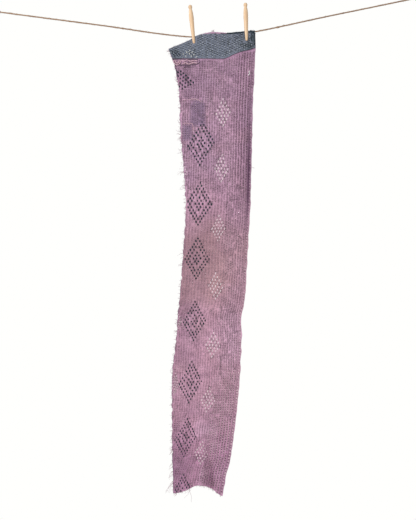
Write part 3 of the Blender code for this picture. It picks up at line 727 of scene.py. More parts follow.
def beech_finish():
    """Pale beech: long fine grain up the peg, broad lighter bands, and short darker flecks."""
    finish = Finish("pale_beech", 0.5, Coat_Weight=0.06, Coat_Roughness=0.4, Specular_IOR_Level=0.35)
    x, y, z = finish.axes(finish.place())

    def drawn(across, along, detail, roughness=0.55):
        return finish.noise(finish.vector(x * across, y * across, z * along), 1.0, detail, roughness)

    grain, rings, fleck = drawn(520.0, 26.0, 4.0, 0.6), drawn(150.0, 6.0, 2.0), drawn(900.0, 170.0, 1.0)
    finish.colour(finish.layers(
        linear(214, 176, 138),
        (finish.step(grain, 0.30, 0.72), (240, 212, 178)),
        (finish.step(rings, 0.40, 0.70) * 0.45, (226, 190, 150)),
        (finish.step(fleck, 0.66, 0.76) * 0.45, (176, 130, 92))))
    finish.rough(0.42 + grain * 0.2)
    finish.bump(grain + fleck * 0.3, 0.0002, 0.5)
    return finish.material


class Raster:
    """A field over the cloth on a 1 mm grid of s and t, for what the stitches do to the cloth round them."""

    step = 0.001
    s_start, t_start = -0.01, 0.04
    shape = (1370, 280)

    @classmethod
    def blurred(cls, s, t, radius, weight=None):
        """Bell curves of one radius round all the points, added up."""
        rows = np.clip(np.round((t - cls.t_start) / cls.step).astype(int), 0, cls.shape[0] - 1)
        columns = np.clip(np.round((s - cls.s_start) / cls.step).astype(int), 0, cls.shape[1] - 1)
        field = np.zeros(cls.shape)
        np.add.at(field, (rows, columns), 1.0 if weight is None else weight)
        waves_t = np.fft.fftfreq(cls.shape[0], cls.step)[:, None]
        waves_s = np.fft.rfftfreq(cls.shape[1], cls.step)[None]
        keep = np.exp(-2 * (math.pi * radius) ** 2 * (waves_t**2 + waves_s**2))
        return np.fft.irfft2(np.fft.rfft2(field) * keep, cls.shape)

    @classmethod
    def read(cls, field, s, t):
        """The field between its grid points."""
        row = np.clip((t - cls.t_start) / cls.step, 0, cls.shape[0] - 1.001)
        column = np.clip((s - cls.s_start) / cls.step, 0, cls.shape[1] - 1.001)
        j, i = row.astype(int), column.astype(int)
        fj, fi = row - j, column - i
        return ((field[j, i] * (1 - fi) + field[j, i + 1] * fi) * (1 - fj)
                + (field[j + 1, i] * (1 - fi) + field[j + 1, i + 1] * fi) * fj)


def inside(s, t, margin):
    """Whether a place lies on the cloth, at least a margin from each edge."""
    width = width_at(t)
    across = 1 - s / width
    return ((s > margin) & (s < width - margin) & (t > edge_drop(TOP_EDGE, across) + margin)
            & (t < edge_drop(BOTTOM_EDGE, across) - margin))


def under_panel(s, t, margin=0.0):
    return below_panel(s, t) < margin


def near_peg(s, t, reach=0.0068):
    """One at a peg's jaws, fading out beside and below them."""
    x = right_edge(t) - s
    grip = np.zeros_like(x)
    for peg_x, tip in PEG_GRIPS:
        below = np.clip((t - tip - 0.001) / 0.004, 0.0, None)
        grip = np.maximum(grip, bell(x, peg_x, reach, 4) * bell(below, 0, 1))
    return grip


Stitches = namedtuple("Stitches", "s t lean length width")


def only(stitches, keep):
    return Stitches(*(column[keep] for column in stitches))


def together(*sets):
    return Stitches(*map(np.concatenate, zip(*sets)))


def on_open_cloth(stitches, margin, gap):
    """The stitches that lie on the cloth by a margin and below the blue end by a gap."""
    s, t = stitches.s, stitches.t
    return only(stitches, inside(s, t, margin) & ~under_panel(s, t, gap))


def sewn(chance, s, t, lean, spread, length, width, shortest=0.85, longest=1.15, narrowest=0.85, widest=1.15):
    """Stitches at these places, each a little uneven in its lean, its length and its width."""
    return Stitches(s, t, chance.normal(lean, spread, s.shape),
                    length * chance.uniform(shortest, longest, s.shape),
                    width * chance.uniform(narrowest, widest, s.shape))


def ground_stitches(offset=0.0, seed=11):
    """Every running stitch of the fields, a little uneven, and the whipped ones along the hem."""
    chance = np.random.default_rng(seed)
    sets = []
    for field in STITCH_FIELDS:
        count = round((field.s_to - field.s_from) / field.row_gap)
        rows = field.s_from + (np.arange(count) + 0.5) * (field.s_to - field.s_from) / count
        places = np.arange(field.t_from - 2 * field.pitch, field.t_to + 2 * field.pitch, field.pitch)
        s, t = np.meshgrid(rows, places)
        shift = (np.arange(len(rows)) * field.shift) % 1.0
        t = t + (shift[None] + offset) * field.pitch
        s = s + 0.0006 * soft_noise(s, t, 0.07, 14) + chance.normal(0, 0.00040, s.shape)
        t = t + chance.normal(0, 0.00045, t.shape)
        border = 0.0050 * soft_noise(s, 0 * t, 0.030, 61)
        keep = (t >= field.t_from + border) & (t < field.t_to + border) & (chance.random(t.shape) > 0.012)
        sets.append(sewn(chance, s[keep], t[keep], 0, 7.0, field.length, field.width, shortest=0.8))
    hem = np.arange(PANEL_FOOT, 1.386, 0.0082)
    hem = hem + chance.normal(0, 0.0006, hem.shape)
    s = HEM_LINE + chance.normal(0, 0.0004, hem.shape)
    lean = chance.normal(24, 7, hem.shape)
    sets.append(Stitches(s, hem, lean, 0.0054 * chance.uniform(0.8, 1.2, hem.shape), 0.0028 + 0 * hem))
    return on_open_cloth(together(*sets), 0.003, 0.003)


def lozenge_stitches(lozenges, rings, steps, length, width, seed, lean=0.0):
    """A lozenge's stitches stand on every second point of a net, in rings of equal steps from the middle.

    The side points hang a little below the middle.
    """
    chance = np.random.default_rng(seed)
    i, j = (index.ravel() for index in np.meshgrid(*[np.arange(-steps, steps + 1)] * 2))
    keep = np.isin(np.abs(i) + np.abs(j), rings)
    i, j = i[keep] / steps, j[keep] / steps
    x = np.concatenate([shape.x + i * shape.half_width - j * shape.slant / 2 for shape in lozenges])
    t = np.concatenate([shape.t + j * shape.half_height - i * shape.rise / 2 + 0.0020 * np.abs(i)
                        for shape in lozenges])
    width = width * np.repeat([shape.half_width / lozenges[0].half_width for shape in lozenges], len(i))
    length = length * np.repeat([shape.half_height / lozenges[0].half_height for shape in lozenges], len(i))
    s = right_edge(t) - x + chance.normal(0, 0.0004, x.shape)
    t = t + chance.normal(0, 0.0005, t.shape)
    return on_open_cloth(sewn(chance, s, t, lean, 6.0, length, width), 0.0025, 0.004)


def net_stitches(net, count, length, width, seed):
    """Stitches at every point of a slanting net, that many along each of its two directions."""
    chance = np.random.default_rng(seed)
    (x, t), along, across = net
    m, n = (index.ravel() for index in np.meshgrid(np.arange(count), np.arange(count)))
    x = x + m * along[0] + n * across[0] + chance.normal(0, 0.0005, m.shape)
    t = t + m * along[1] + n * across[1] + chance.normal(0, 0.0005, m.shape)
    return on_open_cloth(sewn(chance, right_edge(t) - x, t, -6, 8.0, length, width), 0.0025, 0.004)


def clear_of(stitches, others, gap_s, gap_t):
    """The stitches that none of the others crowds."""
    away_s = np.abs(stitches.s[:, None] - others.s[None]) / gap_s
    away_t = np.abs(stitches.t[:, None] - others.t[None]) / gap_t
    return only(stitches, (np.maximum(away_s, away_t) > 1).all(axis=1))


def panel_stitches(seed=5):
    """The blue end's quilting: small stitches on a net of 7 mm that leans, and each a little off its place."""
    chance = np.random.default_rng(seed)
    s, t = np.meshgrid(np.arange(0.004, 0.249, 0.0070), np.arange(0.050, 0.150, 0.0070))
    t = t + 0.0020 * np.sin(s * 60.0) + s * 0.05 + 0.0035 * (np.arange(s.shape[1]) % 2)[None]
    s = (s + chance.normal(0, 0.0005, s.shape)).ravel()
    t = (t + chance.normal(0, 0.0005, t.shape)).ravel()
    corner = (s < 0.016) & (t < 0.090)
    keep = inside(s, t, 0.003) & under_panel(s, t, -0.003) & (near_peg(s, t, 0.0072) < 0.3) & ~corner
    return sewn(chance, s[keep], t[keep], 0, 14.0, 0.0050, 0.0024, 0.75, 1.2, 0.75, 1.2)


def stitch_ends(stitches):
    """The places where the threads dive into the cloth."""
    half = stitches.length * 0.5
    turn = np.radians(stitches.lean)
    s = np.concatenate([stitches.s + half * np.sin(turn), stitches.s - half * np.sin(turn)])
    t = np.concatenate([stitches.t + half * np.cos(turn), stitches.t - half * np.cos(turn)])
    return s, t


def stitch_run(stitches):
    """Five places along each stitch."""
    along = np.linspace(-0.5, 0.5, 5)[:, None] * stitches.length[None]
    turn = np.radians(stitches.lean)[None]
    return (stitches.s + along * np.sin(turn)).ravel(), (stitches.t + along * np.cos(turn)).ravel()


def stitch_mesh(name, stitches, lift, height, seed, back=False, tones=None, rounder=False):
    """The threads of some stitches, set on the cloth's front or back at a height above its middle."""
    chance = np.random.default_rng(seed)
    inward, down, out = cloth_axes(stitches.s, stitches.t)
    out = -out if back else out
    turn = np.radians(stitches.lean)[:, None]
    along = unit(down * np.cos(turn) + inward * np.sin(turn))
    centre = middle_of_cloth(stitches.s, stitches.t) + out * lift
    tone = chance.random(len(stitches.s))
    if tones is not None:
        tone = np.clip(tones(stitches.s, stitches.t) + 0.50 * (tone - 0.5), 0.0, 1.0)
    shape = {"sides": 8, "rings": (-0.86, -0.40, 0.40, 0.86)} if rounder else {}
    return beads(name, centre, along, np.cross(out, along), out, stitches.length, stitches.width, height,
                 {"tone": tone}, **shape)


def soft_noise(s, t, size, seed, waves=14):
    """Gentle unevenness: some waves of about one size that run in all directions, added up."""
    chance = np.random.default_rng(seed)
    total = np.zeros_like(s)
    for _ in range(waves):
        angle, phase = chance.uniform(0, 2 * math.pi, 2)
        scale = 2 * math.pi / (size * chance.uniform(0.6, 1.6))
        total += np.sin((s * math.cos(angle) + t * math.sin(angle)) * scale + phase)
    return total / math.sqrt(waves / 2)


# Broad darker places and lighter ones (amount below nought) on the cloth: the middle, the half sizes and how
# strong. Some are painted shade and painted highlight, as marked; the rest make broad places darker or lighter.
Shade = namedtuple("Shade", "s t half_s half_t amount")
SHADES = [
    Shade(0.100, 0.660, 0.045, 0.140, 0.22),
    Shade(0.175, 0.980, 0.060, 0.085, 0.27),
    Shade(0.160, 1.150, 0.070, 0.070, 0.22),
    Shade(0.100, 0.150, 0.080, 0.040, 0.08),
    # The next three rows are painted shade by the hem: in its groove and along its edge.
    Shade(0.0100, 0.270, 0.0040, 0.130, 0.35),
    Shade(0.0078, 0.490, 0.0044, 0.140, 0.85),
    Shade(0.014, 0.460, 0.020, 0.120, 0.32),
    Shade(0.205, 0.180, 0.040, 0.055, 0.30),
    Shade(0.036, 0.300, 0.026, 0.080, 0.12),
    Shade(0.160, 0.700, 0.035, 0.110, 0.30),
    Shade(0.170, 0.850, 0.030, 0.060, 0.30),
    Shade(0.060, 0.830, 0.030, 0.035, 0.10),
    Shade(0.178, 0.260, 0.030, 0.040, 0.20),
    Shade(0.165, 1.300, 0.065, 0.100, 0.54),
    Shade(0.016, 0.110, 0.050, 0.080, 0.17),
    Shade(0.050, 1.210, 0.030, 0.050, 0.10),
    # Painted shade in the lower fold's crease.
    Shade(0.068, 1.262, 0.0045, 0.034, 0.40),
    Shade(0.090, 0.380, 0.090, 0.110, -0.09),
    Shade(0.030, 0.760, 0.040, 0.140, -0.12),
    # Painted highlight on the lower fold's ridge.
    Shade(0.053, 1.243, 0.007, 0.030, -0.26),
    Shade(0.025, 0.930, 0.035, 0.080, -0.52),
    Shade(0.090, 1.200, 0.038, 0.034, -0.60),
    Shade(0.070, 1.310, 0.014, 0.070, -0.40),
]


def below_panel(s, t):
    """The drop below the blue end's lower edge."""
    return t - edge_drop(PANEL_LOWER_EDGE, 1 - s / width_at(t))


def broad_shades(s, t):
    """The darker places and the lighter ones (below nought), each a rounded bell, plus a little unevenness.

    The last 2 mm before the frayed edge get painted shade too, and 4 mm along the blue end's lower edge get
    painted shadow of that edge.
    """
    total = np.zeros_like(s)
    for place in SHADES:
        away = ((s - place.s) / place.half_s) ** 2 + ((t - place.t) / place.half_t) ** 2
        total += place.amount * np.exp(-away)
    # Painted shade along the frayed edge, and the blue end's painted shadow along its lower edge.
    total += 0.55 * bell(width_at(t) - s, 0, 0.0022)
    total += 0.42 * bell(below_panel(s, t), 0, 0.0040) * fall(s, 0.150, 0.008)
    return np.clip(total + 0.05 * soft_noise(s, t, 0.05, 21), -1.0, 1.0)


def ribbing(s, t):
    """How strongly the rows by the hem show as furrows, in relief and in their painted shade: down to 540 mm, and
    again below 1.16 m.
    """
    column = fall(s, 0.047, 0.003) * ramp(s, 0.009, 0.003)
    rows = bell(t, 0.300, 0.230, 6) + 0.65 * ramp(t, 1.150, 0.040)
    return column * np.clip(rows, 0.0, 1.0) * free_of_panel(s, t)


def paleness(s, t):
    """How pale the ground's thread is: dull by the hem above, palest in the right column's lower end."""
    low_column = 0.64 * fall(s, 0.074, 0.004) * ramp(t, 0.86, 0.34)
    upper_right = 0.30 * bell(s, 0, 0.052, 4) * bell(t, 0.30, 0.24, 4)
    hem = 0.28 * bell(s, HEM_LINE, 0.0022, 4) * ramp(t, 0.55, 0.3)
    return np.clip(0.34 + low_column - upper_right + hem + 0.10 * soft_noise(s, t, 0.06, 33), 0.0, 1.0)


def pull(s, t):
    """How hard the stitches draw the cloth in: least on the worn left side below 560 mm."""
    column = fall(s, 0.056 + 0.010 * soft_noise(0 * s, t, 0.15, 53), 0.011)
    worn = ramp(t, 0.540, 0.080)
    return 0.92 + 0.12 * column - 0.30 * worn * (1 - column) + 0.12 * soft_noise(s, t, 0.035, 51)


def warmth(s, t):
    """How rosy the plum is: it turns from violet to rose between 400 and 800 mm down."""
    rise = ramp(t, 0.30, 0.55)
    base = rise * rise * (3 - 2 * rise) * (1.0 - 0.45 * ramp(t, 1.12, 0.20))
    return np.clip(base + 0.10 * soft_noise(s, t, 0.16, 4), 0.0, 1.0)


def brownness(s, t):
    """A browner belt between 560 and 860 mm down, strongest towards the left edge."""
    strength = 0.45 + 0.45 * s / 0.18 + 0.35 * bell(s, 0.095, 0.035)
    return np.clip(bell(t, 0.725, 0.130, 4) * strength + 0.10 * soft_noise(s, t, 0.09, 24), 0.0, 1.0)


def along_curve(curve, count=None, gap=0.0008):
    """Even places on the smooth curve through (x, drop) points: that many, or a gap apart."""
    points = np.array(curve)
    reach = running(np.hypot(*np.diff(points, axis=0).T))
    even = np.linspace(0.0, reach[-1], count or max(3, int(reach[-1] / gap)))
    return even, smooth_curve(even, reach, points[:, 0]), smooth_curve(even, reach, points[:, 1])


class Quilting:
    """What one face's stitches do to it: hollows where the threads dive in, with painted shade in them, and puffs
    between them.
    """

    def __init__(self, stitches, seams=()):
        ends, run = stitch_ends(stitches), stitch_run(stitches)
        self.pinch = Raster.blurred(*ends, 0.0016, pull(*ends))
        self.pinch += 0.30 * Raster.blurred(*run, 0.0017, pull(*run))
        self.pinch /= np.percentile(self.pinch[self.pinch > 1e-3], 92)
        # This field only darkens the colour: painted shade in the hollows where the threads dive in, and along the
        # seams.
        self.dent_shades = Raster.blurred(*ends, 0.0013, pull(*ends))
        self.dent_shades /= np.percentile(self.dent_shades[self.dent_shades > 1e-3], 96)
        for seam in seams:
            _, x, t = along_curve(seam)
            line = Raster.blurred(right_edge(t) - x, t, 0.0011)
            self.dent_shades += line / line.max() * 0.8
            self.pinch += line / line.max() * 0.7

    def puff(self, s, t):
        """One on the open cloth and nought at a stitch; wide open places stand no higher than narrow ones."""
        return np.clip(1 - Raster.read(self.pinch, s, t), 0.0, 0.78) / 0.78

    def dent(self, s, t):
        return np.clip(Raster.read(self.dent_shades, s, t), 0.0, 1.0)

    def relief(self, s, t):
        """The puffs, 1 mm high and calm near the raw edges, and a gentle unevenness."""
        edge = ramp(np.minimum(s, width_at(t) - s), 0, 0.004)
        return 0.00100 * (self.puff(s, t) - 0.5) * edge + 0.00030 * soft_noise(s, t, 0.030, 8)


def free_of_panel(s, t):
    """Nought under the blue end, where the cloth lies flat, and one below it."""
    return ramp(below_panel(s, t), 0.002, 0.004)


def front_relief(quilting, s, t):
    """How far the cloth's front stands off its even thickness."""
    return (quilting.relief(s, t) + hem_relief(s, t)) * (1 - near_peg(s, t)) * free_of_panel(s, t)


FURROW_START = 0.0144
FURROW_GAP = 0.0078
HEM_INSETS = np.array([0.0, 0.0008, 0.0018, 0.0030, 0.0042, 0.0055, 0.0067, 0.0076, 0.0085, 0.0094, 0.0106,
                       0.0120])
CLOTH_COLUMNS, CLOTH_ROWS = 120, 620
NEAR_COLUMNS, NEAR_REACH = 24, 0.050
PANEL_COLUMNS, PANEL_ROWS = 126, 42


def cloth_grid(columns, rows):
    """Places over the whole cloth: even columns from the left edge, closer ones by the hem and on it."""
    main = columns - NEAR_COLUMNS - (len(HEM_INSETS) - 1)
    down = np.linspace(0.0, 1.0, rows + 1)[:, None]
    high, low = TOP_EDGE[5, 1], BOTTOM_EDGE[4, 1]
    level = width_at(high + down * (low - high))
    first, second = 1 - NEAR_REACH / level, 1 - HEM_INSETS[-1] / level
    across = np.concatenate([np.linspace(0, 1, main + 1)[None, :-1] * first,
                             first + np.linspace(0, 1, NEAR_COLUMNS + 1)[None, :-1] * (second - first),
                             1 - HEM_INSETS[::-1][None] / level], axis=1)
    top, bottom = edge_drop(TOP_EDGE, across), edge_drop(BOTTOM_EDGE, across)
    t = top + down * (bottom - top)
    return (1 - across) * width_at(t), t


def hem_relief(s, t):
    """The turned hem: a band that stands 0.4 mm proud, a groove beside it, and the furrows behind that."""
    band = 0.0004 * bell(s, 0.0050, 0.0030, 4)
    groove = -0.0005 * bell(s, HEM_GROOVE, 0.0011)
    furrows = -0.00030 * np.cos((s - FURROW_START) * 2 * math.pi / FURROW_GAP) * ribbing(s, t)
    return ramp(t, PANEL_FOOT, 0.010) * (band + groove + furrows)


def build_cloth(material, quilting, reverse):
    """The quilted strip as one closed sheet: puffs between the stitches, pinched at each, on both faces."""
    s, t = cloth_grid(CLOTH_COLUMNS, CLOTH_ROWS)
    frayed = 1 - s / width_at(t)
    ragged = 0.0007 * soft_noise(0 * t, t, 0.022, 2) + 0.00035 * soft_noise(0 * t, t, 0.006, 3)
    s = s + ragged * np.clip(1 - frayed / 0.03, 0.0, 1.0) * (t > 0.115) * (t < 1.372)
    s = s + 0.0005 * soft_noise(0 * t, t, 0.030, 6) * np.clip(1 - s / 0.003, 0, 1) * (t > 0.12) * (t < 1.38)

    def values_at(s, t, face, front):
        groove = bell(s, HEM_GROOVE, 0.0017) * ramp(t, PANEL_FOOT, 0.010)
        # The hem's groove gets painted shade, as does each hollow where a thread dives in; rib sets the painted
        # shade of the furrows.
        dent = np.maximum(face.dent(s, t), groove * 0.85) * (free_of_panel(s, t) if front else 1.0)
        return {"puff": face.puff(s, t), "dent": np.clip(dent, 0.0, 1.0), "deep": broad_shades(s, t),
                "warm": warmth(s, t), "brown": brownness(s, t), "rib": ribbing(s, t) * front}

    out = cloth_axes(s, t)[2]
    front = middle_of_cloth(s, t) + out * (CLOTH_FACE + front_relief(quilting, s, t))[..., None]
    back_s, back_t = s[::2, ::2], t[::2, ::2]
    swell = reverse.relief(back_s, back_t) * (1 - near_peg(back_s, back_t)) * ramp(back_t, 0.088, 0.010)
    back = middle_of_cloth(back_s, back_t) - out[::2, ::2] * (CLOTH_FACE + swell)[..., None]
    mesh = closed_sheet("quilted_cloth", front, back, np.stack([s, t], axis=-1),
                        np.stack([back_s, back_t], axis=-1), values_at(s, t, quilting, True),
                        values_at(back_s, back_t, reverse, False))
    return add_piece(mesh, material)


def build_panel(material, stitches):
    """The blue end: a thin quilted sheet on the cloth's front, its top a little lower where plum shows."""
    across = np.linspace(0.0, 1.0, PANEL_COLUMNS + 1)[None]
    down = np.linspace(0.0, 1.0, PANEL_ROWS + 1)[:, None]
    top = edge_drop(TOP_EDGE, across) + 0.0005 + bell(across, 0.540, 0.125, 4) * 0.0042
    bottom = edge_drop(PANEL_LOWER_EDGE, across)
    t = top + down * (bottom - top)
    across = 0.002 + 0.996 * np.broadcast_to(across, t.shape)
    s = (1 - across) * width_at(t)
    quilting = Quilting(stitches)
    puff = quilting.puff(s, t)
    _, _, out = cloth_axes(s, t)
    middle = middle_of_cloth(s, t)
    border = np.minimum(np.minimum(s, width_at(t) - s), np.minimum(t - top, bottom - t))
    round_off = 0.0003 * np.clip(1 - border / 0.0012, 0.0, 1.0) ** 2
    relief = 0.00060 * (puff - 0.4) * (1 - near_peg(s, t))
    low = CLOTH_FACE + CLEARANCE
    front = middle + out * (low + PANEL_THICKNESS + relief - round_off)[..., None]
    x = right_edge(t) - s
    # deep is darker towards the right end, partly painted shadow of the right peg and partly the dark threads
    # there, painted shade along the rim, and darker near the left end.
    deep = np.clip(0.85 * ramp(x, 0.690, 0.040) + 0.8 * np.clip(1 - border / 0.0016, 0, 1)
                   + 0.35 * bell(x, 0.512, 0.016), 0, 1)
    values = {"puff": puff, "dent": quilting.dent(s, t), "deep": deep}
    uv = np.stack([s, t], axis=-1)
    mesh = closed_sheet("quilted_blue_end", front, middle + out * low, uv, uv, values, values)
    return add_piece(mesh, material)


def loose_paths(root, outward, along, reach, drift, curl, seed, steps=8):
    """Threads that leave an edge: out by the reach, along by a power of the way, and curled a little."""
    chance = np.random.default_rng(seed)
    u = np.linspace(0.0, 1.0, steps)[None, :, None]
    phase = chance.uniform(0, 2 * math.pi, (len(root), 1, 1))
    sway = chance.normal(0, 1.0, (len(root), 1, 1))
    wave = curl[:, None, None] * u * np.sin(u * math.pi * 1.6 + phase)
    return (root[:, None] + outward * reach[:, None, None] * u
            + along * (drift[:, None, None] * u**1.6 + wave * 0.7)
            + np.cross(outward, along) * wave * sway * 0.6)


# Seams that show as a fine groove, with painted shade along it: an arch in the right column, a short level one
# above it, a tuck at the hem where the edge bends, and two upright ones between the columns.
SEAMS = [
    [(0.6653, 0.5660), (0.6676, 0.5528), (0.6748, 0.5456), (0.6836, 0.5413), (0.6990, 0.5400)],
    [(0.6945, 0.5083), (0.7050, 0.5080), (0.7175, 0.5086)],
    [(0.6835, 0.9240), (0.6930, 0.9200), (0.7010, 0.9185), (0.7100, 0.9125)],
    [(0.6520, 0.8440), (0.6514, 0.8620), (0.6516, 0.8820)],
    [(0.6508, 0.9900), (0.6500, 1.0160), (0.6496, 1.0440)],
]

# Threads laid on the surface, each a curve through (x, drop) points.
PALE_CURVES = [
    [(0.5150, 0.1425), (0.5175, 0.1510), (0.5255, 0.1560), (0.5330, 0.1520), (0.5355, 0.1440)],
    [(0.5195, 0.1420), (0.5215, 0.1480), (0.5260, 0.1512), (0.5305, 0.1475), (0.5315, 0.1425)],
    [(0.5370, 0.1425), (0.5450, 0.1452), (0.5530, 0.1415), (0.5640, 0.1450), (0.5740, 0.1420),
     (0.5840, 0.1440)],
    [(0.5400, 0.1530), (0.5500, 0.1500), (0.5590, 0.1535), (0.5700, 0.1490), (0.5830, 0.1500)],
]
DARK_CURVES = [
    [(0.5128, 0.1385), (0.5150, 0.1440), (0.5172, 0.1495), (0.5196, 0.1560), (0.5205, 0.1600)],
    [(0.5216, 0.1650), (0.5232, 0.1700), (0.5246, 0.1760), (0.5262, 0.1830), (0.5270, 0.1880)],
    # A dark thread along the blue end's lower edge: painted shadow of that edge.
    [(0.5150, 0.1400), (0.5300, 0.1392), (0.5480, 0.1396), (0.5680, 0.1388), (0.5860, 0.1396)],
]
VIOLET_CURVES = [
    [(0.5170, 0.1440), (0.5200, 0.1510), (0.5270, 0.1560), (0.5400, 0.1566), (0.5545, 0.1562),
     (0.5700, 0.1554), (0.5832, 0.1530), (0.5912, 0.1450), (0.5885, 0.1400)],
    [(0.5440, 0.1630), (0.5540, 0.1612), (0.5640, 0.1616), (0.5737, 0.1605)],
]
PANEL_DARK_CURVES = [
    [(0.5080, 0.1150), (0.5150, 0.1190), (0.5220, 0.1250), (0.5300, 0.1335)],
    [(0.5190, 0.1130), (0.5260, 0.1190), (0.5350, 0.1300)],
    [(0.5090, 0.1220), (0.5160, 0.1280), (0.5200, 0.1360)],
]
CORNER_CURVES = [
    [(0.6500, 0.0650), (0.6700, 0.0660), (0.6880, 0.0650), (0.7050, 0.0632), (0.7160, 0.0622)],
    # A dark thread right of the right peg: painted shadow of the peg.
    [(0.7370, 0.0640), (0.7395, 0.0720), (0.7372, 0.0800), (0.7400, 0.0880)],
    [(0.7468, 0.0640), (0.7462, 0.0790), (0.7474, 0.0900), (0.7462, 0.1000)],
    [(0.6900, 0.0640), (0.6980, 0.0622), (0.7060, 0.0618), (0.7170, 0.0598)],
    [(0.7330, 0.0590), (0.7370, 0.0560), (0.7420, 0.0600), (0.7460, 0.0565), (0.7490, 0.0620)],
    [(0.7320, 0.0630), (0.7385, 0.0590), (0.7440, 0.0640), (0.7480, 0.0600)],
    [(0.7350, 0.0570), (0.7400, 0.0640), (0.7450, 0.0610), (0.7500, 0.0660)],
    [(0.6680, 0.0634), (0.6800, 0.0632), (0.6950, 0.0614), (0.7120, 0.0606)],
]
PINK_CURVES = [
    [(0.5430, 0.3226), (0.5500, 0.3222), (0.5600, 0.3226), (0.5680, 0.3232), (0.5712, 0.3300),
     (0.5724, 0.3430)],
    [(0.5400, 0.2560), (0.5480, 0.2548), (0.5580, 0.2544), (0.5700, 0.2530), (0.5840, 0.2545),
     (0.5960, 0.2620)],
]

# Single pale stitches on the blue end's left: x, drop and lean.
PALE_DOTS = np.array([
    (0.5617, 0.1137, 10), (0.5530, 0.1190, -15), (0.5683, 0.1190, 15), (0.5430, 0.1251, -20),
    (0.5608, 0.1234, 0), (0.5734, 0.1255, 20), (0.5502, 0.1310, -12), (0.5660, 0.1306, 12),
    (0.5803, 0.1325, 25)])
WHITE_BITS = np.array([(0.7319, 0.1740, 15), (0.7330, 0.1790, -25), (0.7305, 0.1830, 40)])

# Tufts of loose threads, as in the CAD model: the place, the reach, the drift and how many threads.
LEFT_TUFTS = np.array([
    (0.1160, 0.006, -0.003, 3), (0.2020, 0.010, -0.006, 3), (0.3180, 0.009, -0.010, 2),
    (0.3520, 0.015, -0.004, 3), (0.3630, 0.013, 0.004, 3), (0.3770, 0.012, -0.006, 2),
    (0.4010, 0.019, 0.003, 3), (0.4350, 0.009, 0.005, 2), (0.4590, 0.022, 0.006, 4),
    (0.5060, 0.020, 0.004, 2), (0.5680, 0.007, -0.003, 2), (0.7000, 0.019, 0.000, 1),
    (0.7260, 0.014, 0.002, 3), (0.7840, 0.009, 0.004, 2), (0.9200, 0.010, 0.000, 3),
    (1.2220, 0.008, 0.008, 2), (1.2590, 0.010, 0.006, 3), (1.2980, 0.013, 0.010, 3),
    (1.3230, 0.016, 0.012, 3), (1.3500, 0.022, 0.030, 3)])
BOTTOM_TUFTS = np.array([
    (0.060, 0.010, -0.004, 3), (0.310, 0.060, 0.006, 1), (0.345, 0.030, -0.012, 2), (0.520, 0.006, 0.002, 2),
    (0.720, 0.012, 0.003, 2), (0.780, 0.009, 0.004, 2), (0.960, 0.007, 0.002, 2)])


def tuft_threads(tufts, extra, spread, low, high, short, long, seed):
    """Every thread of an edge as its place, reach and drift: the tufts' own, and single hairs between."""
    chance = np.random.default_rng(seed)
    times = (tufts[:, 3] * extra).astype(int)
    place = np.repeat(tufts[:, 0], times) + chance.normal(0, spread, times.sum())
    reach = np.repeat(tufts[:, 1], times) * chance.uniform(0.45, 1.0, times.sum())
    drift = np.repeat(tufts[:, 2], times) + chance.normal(0, 0.0022, times.sum())
    hairs = int((high - low) / short)
    place = np.concatenate([place, chance.uniform(low, high, hairs)])
    reach = np.concatenate([reach, long * chance.random(hairs) ** 2.2 + 0.0012])
    drift = np.concatenate([drift, chance.normal(0, 0.0018, hairs)])
    keep = (place > low) & (place < high)
    return place[keep], reach[keep], drift[keep]


def build_frays(material, blue):
    """The frayed left and lower edges: fine threads, 0.4 mm thick, that thin out to their tips."""
    chance = np.random.default_rng(17)

    def strands(s, t, outward, along, reach, drift, curl, seed, thick=0.00036, spread=0.0007):
        """The threads rooted at places on the cloth, and their radius from root to tip."""
        root = middle_of_cloth(s, t)
        if spread:
            root[:, 1] += chance.uniform(-spread, spread, len(root))
        paths = loose_paths(root, outward, along, reach, drift, reach * curl, seed)
        taper = np.linspace(thick, thick / 2, paths.shape[1])[None]
        return paths, taper * chance.uniform(0.8, 1.25, (len(root), 1))

    def fringe(name, threads, used, slot, part=slice(None)):
        paths, radius = (numbers[part] for numbers in threads)
        return add_piece(tubes(name, paths, radius, 4, {"tone": chance.random(len(paths))}), used)

    t, reach, drift = tuft_threads(LEFT_TUFTS, 1.7, 0.0035, 0.114, 1.376, 0.0030, 0.0075, 31)
    left = fringe("frayed_left_edge", strands(width_at(t) - 0.0004, t, -RIGHTWARD, -UPWARD, reach, drift, 0.22, 5),
                  material, "plum_threads")
    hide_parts("fray_left")

    across, reach, drift = tuft_threads(BOTTOM_TUFTS, 1.7, 0.012, 0.02, 0.98, 0.016, 0.006, 37)
    t = edge_drop(BOTTOM_EDGE, across) - 0.0004
    low = fringe("frayed_lower_edge", strands((1 - across) * width_at(t), t, -UPWARD, RIGHTWARD, reach, drift,
                                              0.16, 9), material, "plum_threads")
    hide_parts("fray_bottom")

    across = np.concatenate([chance.normal(0.508, 0.012, 12), chance.uniform(0.03, 0.97, 70)])
    reach = np.concatenate([chance.uniform(0.004, 0.010, 12), 0.001 + 0.0035 * chance.random(70) ** 2])
    t = edge_drop(TOP_EDGE, across) + 0.0004
    threads = strands((1 - across) * width_at(t), t, UPWARD, RIGHTWARD, reach, chance.normal(0, 0.002, len(t)),
                      0.25, 15, thick=0.00028, spread=0)
    plum_part = (across > 0.40) & (across < 0.70)
    tops = [fringe("frayed_top_plum", threads, material, "plum_threads", plum_part),
            fringe("frayed_top_blue", threads, blue, "slate_cotton", ~plum_part)]

    u = np.linspace(0.0, 1.0, 10)[:, None]
    hem = middle_of_cloth(np.array([0.0006]), np.array([0.4494]))
    strand = hem + u * np.array([0.0095, 0.0, 0.0]) + np.sin(u * 5.0) * np.array([0.0, -0.0006, 0.0008])
    loose = add_piece(tubes("loose_hem_thread", strand[None], np.full((1, 10), 0.0004), 5,
                            {"tone": np.array([0.2])}), material)
    return [left, low, loose] + tops


